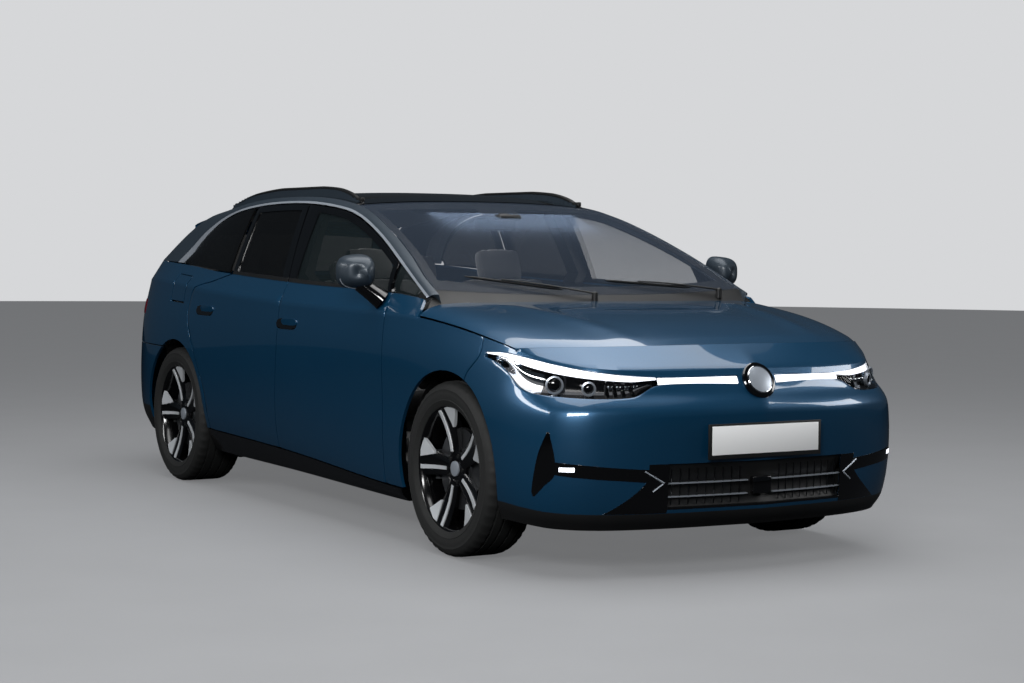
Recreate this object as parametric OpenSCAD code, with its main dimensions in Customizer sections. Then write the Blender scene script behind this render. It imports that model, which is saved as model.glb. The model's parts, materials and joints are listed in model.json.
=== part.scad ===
// Five-door electric station wagon, right-hand drive, as an assembly of separate pieces.
// Millimetres. Origin on the ground under the middle of the car, +Z up, nose towards -Y.

/* [Overall size] */
// Width of the painted body without mirrors
body_width = 1862; // [1700:1:2240]
// Height of the roof rails above the ground
body_height = 1551; // [1400:1:1860]
// Distance between the front and rear axles
wheelbase = 2971; // [2800:1:3600]
// Nose to front axle
front_overhang = 925; // [860:1:1120]
// Rear axle to tail
rear_overhang = 1065; // [980:1:1290]

/* [Wheels] */
// Rolling radius of a front tyre
front_tyre_radius = 359; // [330:1:365]
// Section width of a front tyre
front_tyre_width = 235; // [195:1:285]
// Rolling radius of a rear tyre
rear_tyre_radius = 356; // [330:1:365]
// Section width of a rear tyre
rear_tyre_width = 255; // [210:1:285]
// Radius of the rim's bead seat
bead_radius = 254; // [210:1:258]
// Outer sidewall of every tyre, from the middle of the car
tyre_face_x = 916; // [860:1:925]
// Radial gap between tyre and wheel arch lip
arch_gap = 44; // [30:1:60]
// Kingpin axis of a steered wheel, from the middle of the car
kingpin_x = 770; // [750:1:785]

/* [Panels] */
// Shut gap round each moving panel
shut_gap = 6; // [5.5:0.1:10]
// Door below the window line, skin to trim
door_depth = 80; // [55:1:96]
// Door frame round the glass
frame_depth = 34; // [24:1:42]
// Outer body panel with its inner reinforcement
panel_depth = 22; // [14:1:28]
// Bonnet skin with its inner frame
bonnet_depth = 24; // [16:1:30]
// Tailgate shell
gate_depth = 46; // [30:1:60]
// Roof skin, frame and headlining
roof_depth = 34; // [20:1:42]
// Window and roof glass
glass_depth = 5; // [4:0.5:8]
// Running gap between fitted pieces of one body
fit_gap = 0.4; // [0.3:0.1:0.8]

/* [Cabin] */
// Cabin floor above the ground
floor_z = 300; // [280:1:330]
// Thickness of the floor pressing
floor_depth = 18; // [10:1:24]
// Width of a front seat
seat_width = 530; // [440:1:560]
// Thickness of a seat cushion
cushion_depth = 130; // [90:1:150]
// Thickness of a seat back
back_depth = 105; // [80:1:130]
// Middle of each front seat, from the middle of the car
seat_x = 370; // [340:1:385]
// Height of the luggage floor
load_floor_z = 600; // [560:1:640]
// Outside diameter of the steering wheel
steering_wheel_d = 370; // [320:1:400]

/* [Fittings] */
// Number plate width
plate_width = 520; // [440:1:540]
// Number plate height
plate_height = 111; // [100:1:130]
// Width of one jacking pad
jack_pad = 60; // [40:1:80]
// Radius of the towing eye's threaded hole
tow_hole_r = 10; // [6:0.5:14]

/* [Hidden] */
$fn = 48;

paint = "#16344c";
trim_silver = "#a9b4c0";
gloss_black = "#101214";
plastic_black = "#1c1e20";
glass_dark = "#2a2f30";
leather_black = "#202124";
metal_grey = "#8b8f94";

// The body is drawn once at its design size and then placed, so that its ends, its axles,
// its width and its height land on the driving dimensions.
design_width = 1862;
design_height = 1551;
design_stations = [-2480.5, -1555.5, 1415.5, 2480.5];
body_length = front_overhang + wheelbase + rear_overhang;
nose_y = -body_length / 2;
front_axle_y = nose_y + front_overhang;
rear_axle_y = front_axle_y + wheelbase;
tail_y = body_length / 2;
PLACE_Y = [[design_stations[0], nose_y], [design_stations[1], front_axle_y],
           [design_stations[2], rear_axle_y], [design_stations[3], tail_y]];
width_k = body_width / design_width;
height_k = body_height / design_height;

// Smooth curve through rows of [key, a, b, ...], one column at a time.
function slope(p, i, c) =
    let (a = max(i - 1, 0), b = min(i + 1, len(p) - 1)) (p[b][c] - p[a][c]) / (p[b][0] - p[a][0]);
function span_of(p, t, i = 0) = i >= len(p) - 2 || t <= p[i + 1][0] ? i : span_of(p, t, i + 1);
function ease(a, b, sa, sb, h, u) =
    (2 * u ^ 3 - 3 * u ^ 2 + 1) * a + (u ^ 3 - 2 * u ^ 2 + u) * h * sa
    + (3 * u ^ 2 - 2 * u ^ 3) * b + (u ^ 3 - u ^ 2) * h * sb;
function follow(p, key) =
    let (t = min(max(key, p[0][0]), p[len(p) - 1][0]), i = span_of(p, t),
         h = p[i + 1][0] - p[i][0], u = (t - p[i][0]) / h)
    [for (c = [1 : len(p[0]) - 1]) ease(p[i][c], p[i + 1][c], slope(p, i, c), slope(p, i + 1, c), h, u)];
function mix(a, b, u) = a + (b - a) * u;
function place_y(y) =
    let (i = span_of(PLACE_Y, y), u = (y - PLACE_Y[i][0]) / (PLACE_Y[i + 1][0] - PLACE_Y[i][0]))
    mix(PLACE_Y[i][1], PLACE_Y[i + 1][1], u);
function place(p) = [p[0] * width_k, place_y(p[1]), p[2] * height_k];
function inboard(p, d) = [p[0] - d, p[1], p[2]];
function below(p, d) = [p[0], p[1], p[2] - d];
function unit(v) = v / norm(v);
// Steps from a to b in n equal parts.
function steps(a, b, n) = [for (i = [0 : n]) a + (b - a) * i / n];

// Lower body, seen from above: stations run from the middle of the nose, round the front
// corner, along the left side, round the rear corner to the middle of the tail.
STATION = [-3129, -2686, -2412, -2245, -2110, -1950, -1555, -1155, 0, 1000, 1416, 1850, 2100,
           2288, 2502, 2809, 3109];
// Heights: underside, sill crease, skirt, waist, lamp line, shoulder crease, window line.
UNDERSIDE = [
    [0, -2405, 185], [430, -2365, 185], [680, -2290, 185], [800, -2190, 188], [845, -2080, 195],
    [865, -1950, 200], [870, -1555, 190], [868, -1155, 180], [845, 0, 190], [850, 1000, 200],
    [852, 1416, 215], [850, 1850, 230], [800, 2080, 240], [720, 2230, 245], [560, 2340, 250],
    [280, 2400, 250], [0, 2415, 250]];
SILL = [
    [0, -2452, 250], [434, -2408, 250], [690, -2325, 250], [825, -2220, 255], [878, -2098, 265],
    [900, -1950, 275], [908, -1555, 255], [905, -1155, 235], [893, 0, 285], [895, 1000, 310],
    [898, 1416, 320], [895, 1850, 330], [838, 2095, 330], [755, 2255, 330], [590, 2375, 330],
    [300, 2440, 330], [0, 2455, 330]];
SKIRT = [
    [0, -2462, 400], [434, -2420, 400], [700, -2345, 400], [838, -2238, 400], [893, -2108, 405],
    [918, -1950, 410], [930, -1555, 420], [922, -1155, 420], [918, 0, 430], [922, 1000, 440],
    [930, 1416, 450], [912, 1850, 450], [852, 2102, 450], [768, 2270, 450], [602, 2395, 450],
    [300, 2456, 450], [0, 2468, 450]];
WAIST = [
    [0, -2472, 620], [440, -2428, 620], [700, -2342, 620], [832, -2238, 620], [888, -2110, 615],
    [918, -1950, 610], [931, -1555, 605], [924, -1155, 610], [930, 0, 620], [930, 1000, 630],
    [931, 1416, 640], [910, 1850, 640], [852, 2103, 640], [768, 2272, 640], [602, 2400, 640],
    [300, 2460, 640], [0, 2472, 640]];
LAMP_LINE = [
    [0, -2445, 715], [440, -2385, 715], [680, -2300, 715], [800, -2190, 720], [862, -2075, 740],
    [893, -1950, 760], [922, -1555, 790], [926, -1155, 800], [928, 0, 820], [922, 1000, 840],
    [918, 1416, 850], [888, 1850, 860], [838, 2095, 860], [760, 2255, 860], [600, 2380, 860],
    [300, 2445, 860], [0, 2458, 860]];
SHOULDER = [
    [0, -2405, 800], [440, -2352, 795], [655, -2280, 803], [762, -2165, 822], [832, -2045, 852],
    [868, -1930, 882], [898, -1555, 942], [907, -1155, 974], [914, 0, 992], [904, 1000, 1026],
    [884, 1416, 1050], [848, 1850, 1064], [800, 2080, 1062], [725, 2225, 1058], [580, 2335, 1055],
    [290, 2395, 1055], [0, 2408, 1055]];
WINDOW_LINE = [
    [0, -2292, 888], [440, -2252, 884], [655, -2178, 876], [762, -2085, 872], [820, -2012, 868],
    [850, -1930, 890], [868, -1555, 985], [856, -1155, 1050], [857, 0, 1082], [832, 1000, 1118],
    [809, 1416, 1143], [778, 1850, 1160], [742, 2060, 1162], [715, 2110, 1100], [570, 2255, 1095],
    [290, 2328, 1092], [0, 2345, 1092]];
HEIGHTS = [UNDERSIDE, SILL, SKIRT, WAIST, LAMP_LINE, SHOULDER, WINDOW_LINE];
RINGS = [for (h = HEIGHTS) [for (i = [0 : len(STATION) - 1]) concat([STATION[i]], h[i])]];
// A point of the lower body at station t and height number k, from 0 to 6.
function body_point(t, k) =
    let (i = min(floor(k), 5), u = k - i, p = [for (j = [max(i - 1, 0) : min(i + 2, 6)]) follow(RINGS[j], t)],
         a = p[i == 0 ? 0 : 1], b = p[i == 0 ? 1 : 2],
         sa = i == 0 || i == 5 ? b - a : (b - p[0]) / 2,
         sb = i >= 4 ? b - a : (p[len(p) - 1] - a) / 2)
    place(ease(a, b, sa, sb, 1, u));

// Side windows: the silver trim line over them, and the roof or screen edge inside it.
// Rows are the station along the line, the trim point and the roof edge point.
WINDOW_ARCH = [
    [0, 842, -1250, 1046, 806, -1290, 1062], [1, 820, -1100, 1112, 790, -1130, 1132],
    [2, 798, -925, 1192, 757, -960, 1212], [3, 768, -752, 1264, 728, -790, 1282],
    [4, 746, -615, 1316, 706, -650, 1334], [5, 726, -475, 1362, 684, -500, 1384],
    [6, 712, -350, 1398, 664, -370, 1420], [7, 706, -196, 1430, 648, -200, 1455],
    [8, 702, 93, 1458, 638, 93, 1488], [9, 700, 400, 1468, 634, 400, 1500],
    [10, 700, 750, 1460, 634, 750, 1498], [11, 704, 1054, 1432, 634, 1060, 1480],
    [12, 715, 1271, 1380, 628, 1380, 1444], [13, 742, 1433, 1296, 620, 1690, 1402],
    [14, 770, 1530, 1214, 655, 1900, 1315], [15, 796, 1608, 1158, 740, 2066, 1165]];
function trim_point(s) = let (p = follow(WINDOW_ARCH, s)) place([p[0], p[1], p[2]]);
function roof_edge(s) = let (p = follow(WINDOW_ARCH, s)) place([p[3], p[4], p[5]]);
glass_bulge = 9;
// A point of a side window between station t on the window line and station s on the arch.
function window_point(t, s, v) =
    mix(body_point(t, 6), trim_point(s), v) + [4 * v * (1 - v) * glass_bulge, 0, 0];

// Middle line of the car's top: [station, y, z].
BONNET_LINE = [[0, -2292, 888], [0.12, -2200, 920], [0.3, -2033, 958], [0.5, -1850, 986],
               [0.7, -1675, 1005], [1, -1380, 1030]];
SCREEN_LINE = [[0, -1322, 1046], [0.1, -1255, 1082], [0.35, -1000, 1208], [0.6, -730, 1324],
               [0.85, -420, 1428], [1, -236, 1478]];
ROOF_LINE = [[0, -226, 1480], [0.12, 0, 1512], [0.3, 320, 1530], [0.5, 700, 1528],
             [0.7, 1100, 1508], [0.88, 1500, 1470], [1, 1790, 1434]];
GATE_LINE = [[0, 1796, 1433], [1, 1910, 1418], [2, 2030, 1400], [2.2, 2034, 1386], [3, 2016, 1366],
             [4, 2125, 1276], [5, 2235, 1184], [6, 2345, 1092], [7, 2402, 1066], [8, 2452, 960],
             [9, 2458, 860], [10, 2474, 722]];
GATE_EDGE = [[0, 614, 1726, 1396], [1, 612, 1815, 1384], [2, 610, 1910, 1366], [2.2, 610, 1910, 1354],
             [3, 630, 1890, 1334], [4, 668, 1958, 1257], [5, 708, 2028, 1180], [6, 722, 2092, 1100],
             [7, 716, 2192, 1062], [8, 742, 2232, 960], [9, 750, 2252, 860], [10, 758, 2262, 722]];
// A crowned surface from a middle point to an edge point: u runs from -1 to 1 across the car.
function crown(mid, edge, u, plan_power, rise_power) =
    let (a = abs(u)) place([edge[0] * u, mix(mid[0], edge[1], a ^ plan_power),
                            mix(mid[1], edge[2], a ^ rise_power)]);
bonnet_corner_t = -2030;
bonnet_rear_t = -1290;
// The bonnet is nearly flat across, with a steep shoulder down to its side cut.
function bonnet_point(s, u) =
    let (a = abs(u), e = follow(RINGS[5], mix(bonnet_corner_t, bonnet_rear_t, s)), mid = follow(BONNET_LINE, s),
         shoulder = mix(0.3, 0.92, s ^ 0.5))
    place([e[0] * u, mix(mid[0], e[1], a ^ mix(3.2, 2.2, s)),
           mix(mid[1], e[2], (1 - shoulder) * a ^ 2.4 + shoulder * a ^ 20)]);
function screen_point(s, u) =
    let (p = follow(WINDOW_ARCH, mix(0.05, 6.95, s))) crown(follow(SCREEN_LINE, s), [p[3], p[4], p[5]], u, 2.2, 2.4);
function roof_point(s, u) =
    let (p = follow(WINDOW_ARCH, mix(7, 13.05, s))) crown(follow(ROOF_LINE, s), [p[3], p[4], p[5]], u, 2.2, 2.6);
function gate_point(s, u) =
    crown(follow(GATE_LINE, s), follow(GATE_EDGE, s), u, s < 6 ? 2.4 : 3.4, s < 6 ? 2.4 : 3);

// A closed panel between an outer and an inner grid of points. Rows run up or back, and
// columns run to the right as seen from outside. keep(i, j) says which cells are solid.
module slab(outer, inner, keep = function (i, j) true) {
    rows = len(outer);
    cols = len(outer[0]);
    lift = rows * cols;
    function o(i, j) = i * cols + j;
    function n(i, j) = lift + o(i, j);
    function solid(i, j) = i >= 0 && j >= 0 && i < rows - 1 && j < cols - 1 && keep(i, j);
    cells = [for (i = [0 : rows - 2], j = [0 : cols - 2]) if (keep(i, j)) [i, j]];
    faces = [for (c = cells) let (i = c[0], j = c[1]) each concat(
        [[o(i, j), o(i + 1, j), o(i + 1, j + 1)], [o(i, j), o(i + 1, j + 1), o(i, j + 1)],
         [n(i, j), n(i + 1, j + 1), n(i + 1, j)], [n(i, j), n(i, j + 1), n(i + 1, j + 1)]],
        solid(i - 1, j) ? [] : [[o(i, j), o(i, j + 1), n(i, j + 1)], [o(i, j), n(i, j + 1), n(i, j)]],
        solid(i + 1, j) ? [] : [[o(i + 1, j + 1), o(i + 1, j), n(i + 1, j)],
                                [o(i + 1, j + 1), n(i + 1, j), n(i + 1, j + 1)]],
        solid(i, j - 1) ? [] : [[o(i + 1, j), o(i, j), n(i, j)], [o(i + 1, j), n(i, j), n(i + 1, j)]],
        solid(i, j + 1) ? [] : [[o(i, j + 1), o(i + 1, j + 1), n(i + 1, j + 1)],
                                [o(i, j + 1), n(i + 1, j + 1), n(i, j + 1)]])];
    polyhedron([for (g = [outer, inner], r = g, p = r) p], faces, convexity = 10);
}
module mirrored(side) {
    if (side > 0) children();
    else mirror([1, 0, 0]) children();
}
// The part of a grid from row i0 to i1 and column j0 to j1.
function part_of(g, i0, i1, j0, j1) = [for (i = [i0 : i1]) [for (j = [j0 : j1]) g[i][j]]];
// A point of a grid, level with cell (i, j), a share d of the way from outer to inner.
function level(outer, inner, d) =
    [for (i = [0 : len(outer) - 1]) [for (j = [0 : len(outer[0]) - 1]) mix(outer[i][j], inner[i][j], d)]];
// A grid drawn in by a gap on its edges, towards its middle.
function drawn_in(g, gap) =
    let (n = len(g) - 1, m = len(g[0]) - 1)
    [for (i = [0 : n]) [for (j = [0 : m])
        g[i][j] + (i == 0 ? unit(g[1][j] - g[0][j]) * gap : [0, 0, 0])
        + (i == n ? unit(g[n - 1][j] - g[n][j]) * gap : [0, 0, 0])
        + (j == 0 ? unit(g[i][1] - g[i][0]) * gap : [0, 0, 0])
        + (j == m ? unit(g[i][m - 1] - g[i][m]) * gap : [0, 0, 0])]];
// A grid stepped towards the inside along its own normals.
function normal_at(g, i, j) =
    let (n = len(g) - 1, m = len(g[0]) - 1,
         a = g[min(i + 1, n)][j] - g[max(i - 1, 0)][j], b = g[i][min(j + 1, m)] - g[i][max(j - 1, 0)])
    unit(cross(b, a));
function shrunk(g, d) =
    [for (i = [0 : len(g) - 1]) [for (j = [0 : len(g[0]) - 1]) g[i][j] - d * normal_at(g, i, j)]];
// A pane between rows i0..i1 and columns j0..j1 of a slab, from a share d0 to a share d1 of its depth.
module pane(outer, inner, i0, i1, j0, j1, d0, d1) {
    a = part_of(outer, i0, i1, j0, j1);
    b = part_of(inner, i0, i1, j0, j1);
    slab(drawn_in(level(a, b, d0), fit_gap), drawn_in(level(a, b, d1), fit_gap));
}

// Shut lines of the side, as [height number, station].
FRONT_CUT = [[1, -1010], [2, -1008], [3, -1007], [4, -1003], [5, -995], [5.5, -980], [6, -958]];
MIDDLE_CUT = [[1, 120], [2, 118], [3, 100], [4, 88], [5, 85], [5.5, 98], [6, 115]];
REAR_CUT = [[1, 972], [2, 985], [2.5, 1015], [3, 1080], [3.5, 1165], [4, 1235], [4.5, 1245],
            [5, 1195], [5.5, 1010], [6, 838]];
WING_CUT = [[1, -1706], [3.7, -1706], [4.4, -1790], [5, -1806], [6, -1806]];
half_gap = shut_gap / 2;
// A shut line runs at a slant, so its gap is widened along the station to keep its true width.
function cut_slant(cut, k) =
    let (a = max(k - 0.2, 1), b = min(k + 0.2, 6), ta = follow(cut, a)[0], tb = follow(cut, b)[0])
    (tb - ta) / (body_point(tb, b)[2] - body_point(ta, a)[2]);
function cut_gap(cut, k) = half_gap * sqrt(1 + cut_slant(cut, k) ^ 2);
door_bevel = 26;
frame_bevel = 9;
arch_s = [2, 8.36, 10.2];
front_arch_r = front_tyre_radius + arch_gap;
rear_arch_r = rear_tyre_radius + arch_gap;

module across(y, z, r, x0, x1) {
    translate([x0, y, z]) rotate([0, 90, 0]) cylinder(r = r, h = x1 - x0, $fn = 96);
}
module front_arch_cut() {
    across(front_axle_y, front_tyre_radius, front_arch_r, 300, 1200);
}
module rear_arch_cut() {
    across(rear_axle_y, rear_tyre_radius, rear_arch_r, 300, 1200);
}
module box(x0, x1, y0, y1, z0, z1) {
    translate([x0, y0, z0]) cube([x1 - x0, y1 - y0, z1 - z0]);
}
// A profile in Y and Z carried straight across the car.
module lengthwise(x0, x1, profile) {
    translate([x0, 0, 0]) rotate([90, 0, 90]) linear_extrude(x1 - x0) polygon(profile);
}

// Doors: rows below the window line by height number, then rows up the window.
DOOR_K = [1.05, 2, 2.5, 3, 3.35, 4, 4.5, 5, 5.5, 6];
WINDOW_V = [0.05, 0.28, 0.5, 0.72];
header_width = 32;
function window_rise(t, s) = norm(trim_point(s) - body_point(t, 6));
function door_columns(width, front_bar, rear_bar, n) =
    concat([0], [for (u = steps(front_bar, width - rear_bar, n)) u / width], [1]);
function door_grid(front, rear, s0, s1, cols, inner) =
    let (bevel = inner ? door_bevel : 0, trim = inner ? frame_bevel : 0)
    concat(
        [for (k = DOOR_K) let (a = follow(front, k)[0] + cut_gap(front, k) + bevel,
                               b = follow(rear, k)[0] - cut_gap(rear, k) - bevel)
            [for (u = cols) inboard(body_point(mix(a, b, u), inner ? max(k, 1.2) : k), inner ? door_depth : 0)]],
        [for (r = [0 : len(WINDOW_V) + 1])
            [for (u = cols) let (
                t = mix(follow(front, 6)[0] + half_gap + trim, follow(rear, 6)[0] - cut_gap(rear, 6) - trim, u),
                s = mix(s0, s1, u), rise = window_rise(t, s), top = 1 - (1.25 * shut_gap + trim) / rise,
                v = r < len(WINDOW_V) ? WINDOW_V[r] * top
                    : r == len(WINDOW_V) ? top - (header_width - trim) / rise : top)
                inboard(window_point(t, s, v), inner ? frame_depth : 0)]]);
front_door_cols = door_columns(1068, 40, 78, 7);
rear_door_cols = door_columns(717, 78, 52, 6);
front_door_outer = door_grid(FRONT_CUT, MIDDLE_CUT, arch_s[0] + 0.03, arch_s[1] - 0.02, front_door_cols, false);
front_door_inner = door_grid(FRONT_CUT, MIDDLE_CUT, arch_s[0] + 0.09, arch_s[1] - 0.05, front_door_cols, true);
rear_door_outer = door_grid(MIDDLE_CUT, REAR_CUT, arch_s[1] + 0.02, arch_s[2] - 0.02, rear_door_cols, false);
rear_door_inner = door_grid(MIDDLE_CUT, REAR_CUT, arch_s[1] + 0.05, arch_s[2] - 0.05, rear_door_cols, true);
hole_row = len(DOOR_K);
header_row = hole_row + len(WINDOW_V);
module door_shell(outer, inner) {
    last = len(outer[0]) - 3;
    color(paint) slab(outer, inner, function (i, j) i < hole_row || i >= header_row || j < 1 || j > last);
}
module door_pane(outer, inner) {
    color(glass_dark) pane(outer, inner, hole_row, header_row, 1, len(outer[0]) - 2, 0.3, 0.3 + glass_depth / frame_depth);
}
module front_door(side) {
    mirrored(side) door_shell(front_door_outer, front_door_inner);
}
module rear_door(side) {
    mirrored(side) door_shell(rear_door_outer, rear_door_inner);
}

// Door mirrors: a rounded shell on a foot that stands on the door's shoulder.
mirror_in = 905;
mirror_out = 1063;
mirror_z = 1150;
mirror_y = place_y(-900);
module door_mirror(side) {
    mirrored(side) color(paint) {
        hull() {
            translate([mirror_in + 40, mirror_y - 20, mirror_z]) scale([0.55, 0.8, 1]) sphere(60, $fn = 24);
            translate([mirror_out - 42, mirror_y, mirror_z + 4]) scale([0.7, 0.9, 0.9]) sphere(60, $fn = 24);
            translate([mirror_in + 55, mirror_y + 40, mirror_z - 45]) cube([100, 12, 92]);
        }
        hull() {
            for (t = [-950, -880], k = [5.3, 5.8]) translate(body_point(t, k) + [1, 0, 1] * fit_gap * 1.2) cube(2);
            translate([mirror_in + 50, mirror_y - 20, mirror_z - 60]) cube([40, 40, 22]);
        }
    }
}

// Outer body panels of the side.
wing_t = [0, 0.2, 0.35, 0.5, 0.65, 0.82, 1];
WING_K = [1.06, 2, 3, 3.7, 4.4, 5, 5.5, 6];
wing_outer = [for (k = WING_K) let (a = follow(WING_CUT, k)[0] + half_gap, b = follow(FRONT_CUT, k)[0] - cut_gap(FRONT_CUT, k))
    [for (u = wing_t) body_point(mix(a, b, u), k)]];
// The edge beside the bonnet is folded straight down, clear of the bonnet's side.
bonnet_side_row = 5;
bonnet_side_col = 3;
wing_inner = let (g = shrunk(wing_outer, panel_depth))
    [for (i = [0 : len(g) - 1]) [for (j = [0 : len(g[0]) - 1])
        i == bonnet_side_row && j <= bonnet_side_col ? wing_outer[i][j] - [panel_depth * 0.3, 0, panel_depth] : g[i][j]]];
module front_wing(side) {
    mirrored(side) color(paint) difference() {
        slab(wing_outer, wing_inner, function (i, j) i < bonnet_side_row || j > bonnet_side_col);
        front_arch_cut();
    }
}
flap_t = [1330, 1545];
quarter_end = [[1, 2270], [5, 2262], [5.5, 2190], [6, 2100]];
quarter_outer = [for (k = DOOR_K) let (a = follow(REAR_CUT, k)[0] + 1.6 * cut_gap(REAR_CUT, k), b = follow(quarter_end, k)[0])
    [for (t = concat([a, mix(a, flap_t[0], 0.33), mix(a, flap_t[0], 0.66), flap_t[0]],
                     [for (u = steps(0, 1, 5)) mix(flap_t[1], b, u)])) body_point(t, k)]];
// Its edges beside the door and the tailgate are folded straight in, away from both.
quarter_inner = let (g = shrunk(quarter_outer, panel_depth), last = len(quarter_outer[0]) - 1)
    [for (i = [0 : len(g) - 1]) [for (j = [0 : last])
        j == 0 ? quarter_outer[i][j] + [-panel_depth, i > 5 ? 0 : 4, 0]
        : j == last ? quarter_outer[i][j] - [panel_depth * 0.2, panel_depth, 0] : g[i][j]]];
flap_rows = [6, 8];
flap_col = 3;
// Charging socket: a plate that closes the pocket behind the flap, with a round inlet.
module charge_socket() {
    recess = part_of(level(quarter_outer, quarter_inner, 0.85), flap_rows[0], flap_rows[1], flap_col, flap_col + 1);
    plate = drawn_in(recess, -8);
    middle = (plate[1][0] + plate[1][1]) / 2;
    slab(plate, [for (r = plate) [for (p = r) inboard(p, 6)]]);
    across(middle[1], middle[2] - 26, 22, middle[0] - 30, middle[0] + 1);
}
module rear_quarter(side) {
    flap = side < 0;
    mirrored(side) color(paint) difference() {
        union() {
            slab(quarter_outer, quarter_inner, function (i, j)
                (i > 3 || j < 3) && !(flap && i >= flap_rows[0] && i < flap_rows[1] && j == flap_col));
            if (flap) charge_socket();
        }
        rear_arch_cut();
    }
}
module charge_flap() {
    lid = drawn_in(part_of(quarter_outer, flap_rows[0], flap_rows[1], flap_col, flap_col + 1), shut_gap);
    back = drawn_in(shrunk(lid, panel_depth / 2), half_gap);
    // Its front edge reaches to the hinge line.
    hinge_reach = shut_gap - seal_gap;
    mirrored(-1) color(paint) slab(
        [for (r = lid) [r[0] - [0, hinge_reach, 0], r[1]]], [for (r = back) [r[0] - [0, hinge_reach, 0], r[1]]]);
}
side_s = steps(0, 15, 30);
function side_inner(s) = s > 14 ? mix([-12, -44, -24], [-14, -30, 4], s - 14)
    : mix([-12, 0, -42], [-12, -44, -24], min(max((s - 13.1) / 0.9, 0), 1));
module body_side(side) {
    outer = [[for (s = side_s) trim_point(s)], [for (s = side_s) mix(trim_point(s), roof_edge(s), 0.5) + [4, 0, 4]],
             [for (s = side_s) roof_edge(s)]];
    inner = [[for (s = side_s) trim_point(s) + [-52, 0, 2]],
             [for (s = side_s) mix(trim_point(s), roof_edge(s), 0.5) + [-34, 0, -22]],
             [for (s = side_s) roof_edge(s) + side_inner(s)]];
    mirrored(side) color(trim_silver) slab(outer, inner);
}
pillar_t = [40, 95, 150];
sill_t = concat([-1150, -1000, -750, -500, -250, 0], pillar_t, [400, 650, 900, 1012]);
sill_in = 700;
// Height of the sill's sloping top at station t, x from the middle of the car.
function sill_top(t, x) = let (p = body_point(t, 1)) mix(p[2], floor_z, (p[0] - x) / (p[0] - sill_in));
module side_sills() {
    outer = [for (k = [0, 0.5, 1]) [for (t = sill_t) body_point(t, k)]];
    inner = [for (z = [0, 0.5, 1]) [for (t = sill_t) let (p = body_point(t, 0)) [sill_in, p[1], mix(p[2], floor_z, z)]]];
    for (side = [-1, 1]) mirrored(side) color(plastic_black) slab(outer, inner);
    for (side = [-1, 1], y = [-1000, 880]) color(plastic_black)
        box(side * 760 - jack_pad / 2, side * 760 + jack_pad / 2, place_y(y) - jack_pad / 2,
            place_y(y) + jack_pad / 2, jack_z, 215);
}
jack_z = 172;
seal_gap = 0.5;
// The end face of a door's front edge, at a share d of the way from its skin to its trim.
function door_face(outer, inner, i, d) = mix(outer[i][0], inner[i][0], d);
post_rows = len(DOOR_K) - 2;
function post_column(outer, inner, d, y, foot) = [for (i = [0 : post_rows]) let (p = door_face(outer, inner, i, d))
    [p[0], p[1] + y, i == 0 && foot ? sill_top(p[1], p[0]) + 1.4 * seal_gap : p[2]]];
function columns(a, b) = [for (i = [0 : len(a) - 1]) [a[i], b[i]]];
// Front posts carry the front doors' hinges and centre posts carry the rear doors' hinges.
module hinge_posts() {
    slab(columns(post_column(front_door_outer, front_door_inner, 0.36, -80, true),
                 post_column(front_door_outer, front_door_inner, 0.36, -seal_gap, true)),
         columns(post_column(front_door_outer, front_door_inner, 1, -80, true),
                 post_column(front_door_outer, front_door_inner, 1, -seal_gap, true)));
    slab(columns(post_column(rear_door_outer, rear_door_inner, 0.5, -24, false),
                 post_column(rear_door_outer, rear_door_inner, 0.5, -seal_gap, false)),
         columns(post_column(rear_door_outer, rear_door_inner, 1.2, -40, false),
                 post_column(rear_door_outer, rear_door_inner, 1.2, -seal_gap, false)));
}
module door_pillars() {
    lower = [for (k = [1.2, 2, 3, 4, 5, 6]) [for (t = pillar_t) inboard(body_point(t, k), door_depth + 10)]];
    foot = function (p) [p[0], p[1], sill_top(p[1], p[0]) + 1.4 * seal_gap];
    upper = [for (v = [0.12, 0.5, 0.88]) [for (j = [0 : 2])
        inboard(window_point(pillar_t[j], 8.1 + 0.16 * j, v), frame_depth + 9)]];
    top = [[for (j = [0 : 2]) trim_point(8.1 + 0.16 * j) + [-44, 0, 0.5]]];
    outer = concat([[for (p = lower[0]) foot(p)]], lower, upper, top);
    inner = concat([[for (p = lower[0]) foot(inboard(p, 50))]], [for (g = concat(lower, upper)) [for (p = g) inboard(p, 50)]],
                   [[for (j = [0 : 2]) trim_point(8.1 + 0.16 * j) + [-51, 0, 0.8]]]);
    for (side = [-1, 1]) mirrored(side) color(plastic_black) {
        slab(outer, inner);
        hinge_posts();
    }
}
module fixed_side_glass() {
    rear_s = [10.3, 11, 12, 13, 14, 14.6];
    rear_t = [872, 1040, 1200, 1350, 1500, 1570];
    rear = [for (v = [0, 0.5, 1]) [for (j = [0 : 5]) window_point(rear_t[j], rear_s[j], v)]];
    front_s = [0.4, 1, 1.94];
    front_t = [-1190, -1100, -966];
    front = [for (v = [0, 0.5, 1]) [for (j = [0 : 2]) window_point(front_t[j], front_s[j], v)]];
    for (side = [-1, 1], g = [rear, front]) let (a = drawn_in(g, fit_gap + 0.5)) mirrored(side)
        color(glass_dark) slab([for (r = a) [for (p = r) inboard(p, 6)]], [for (r = a) [for (p = r) inboard(p, 6 + glass_depth)]]);
}

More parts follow.
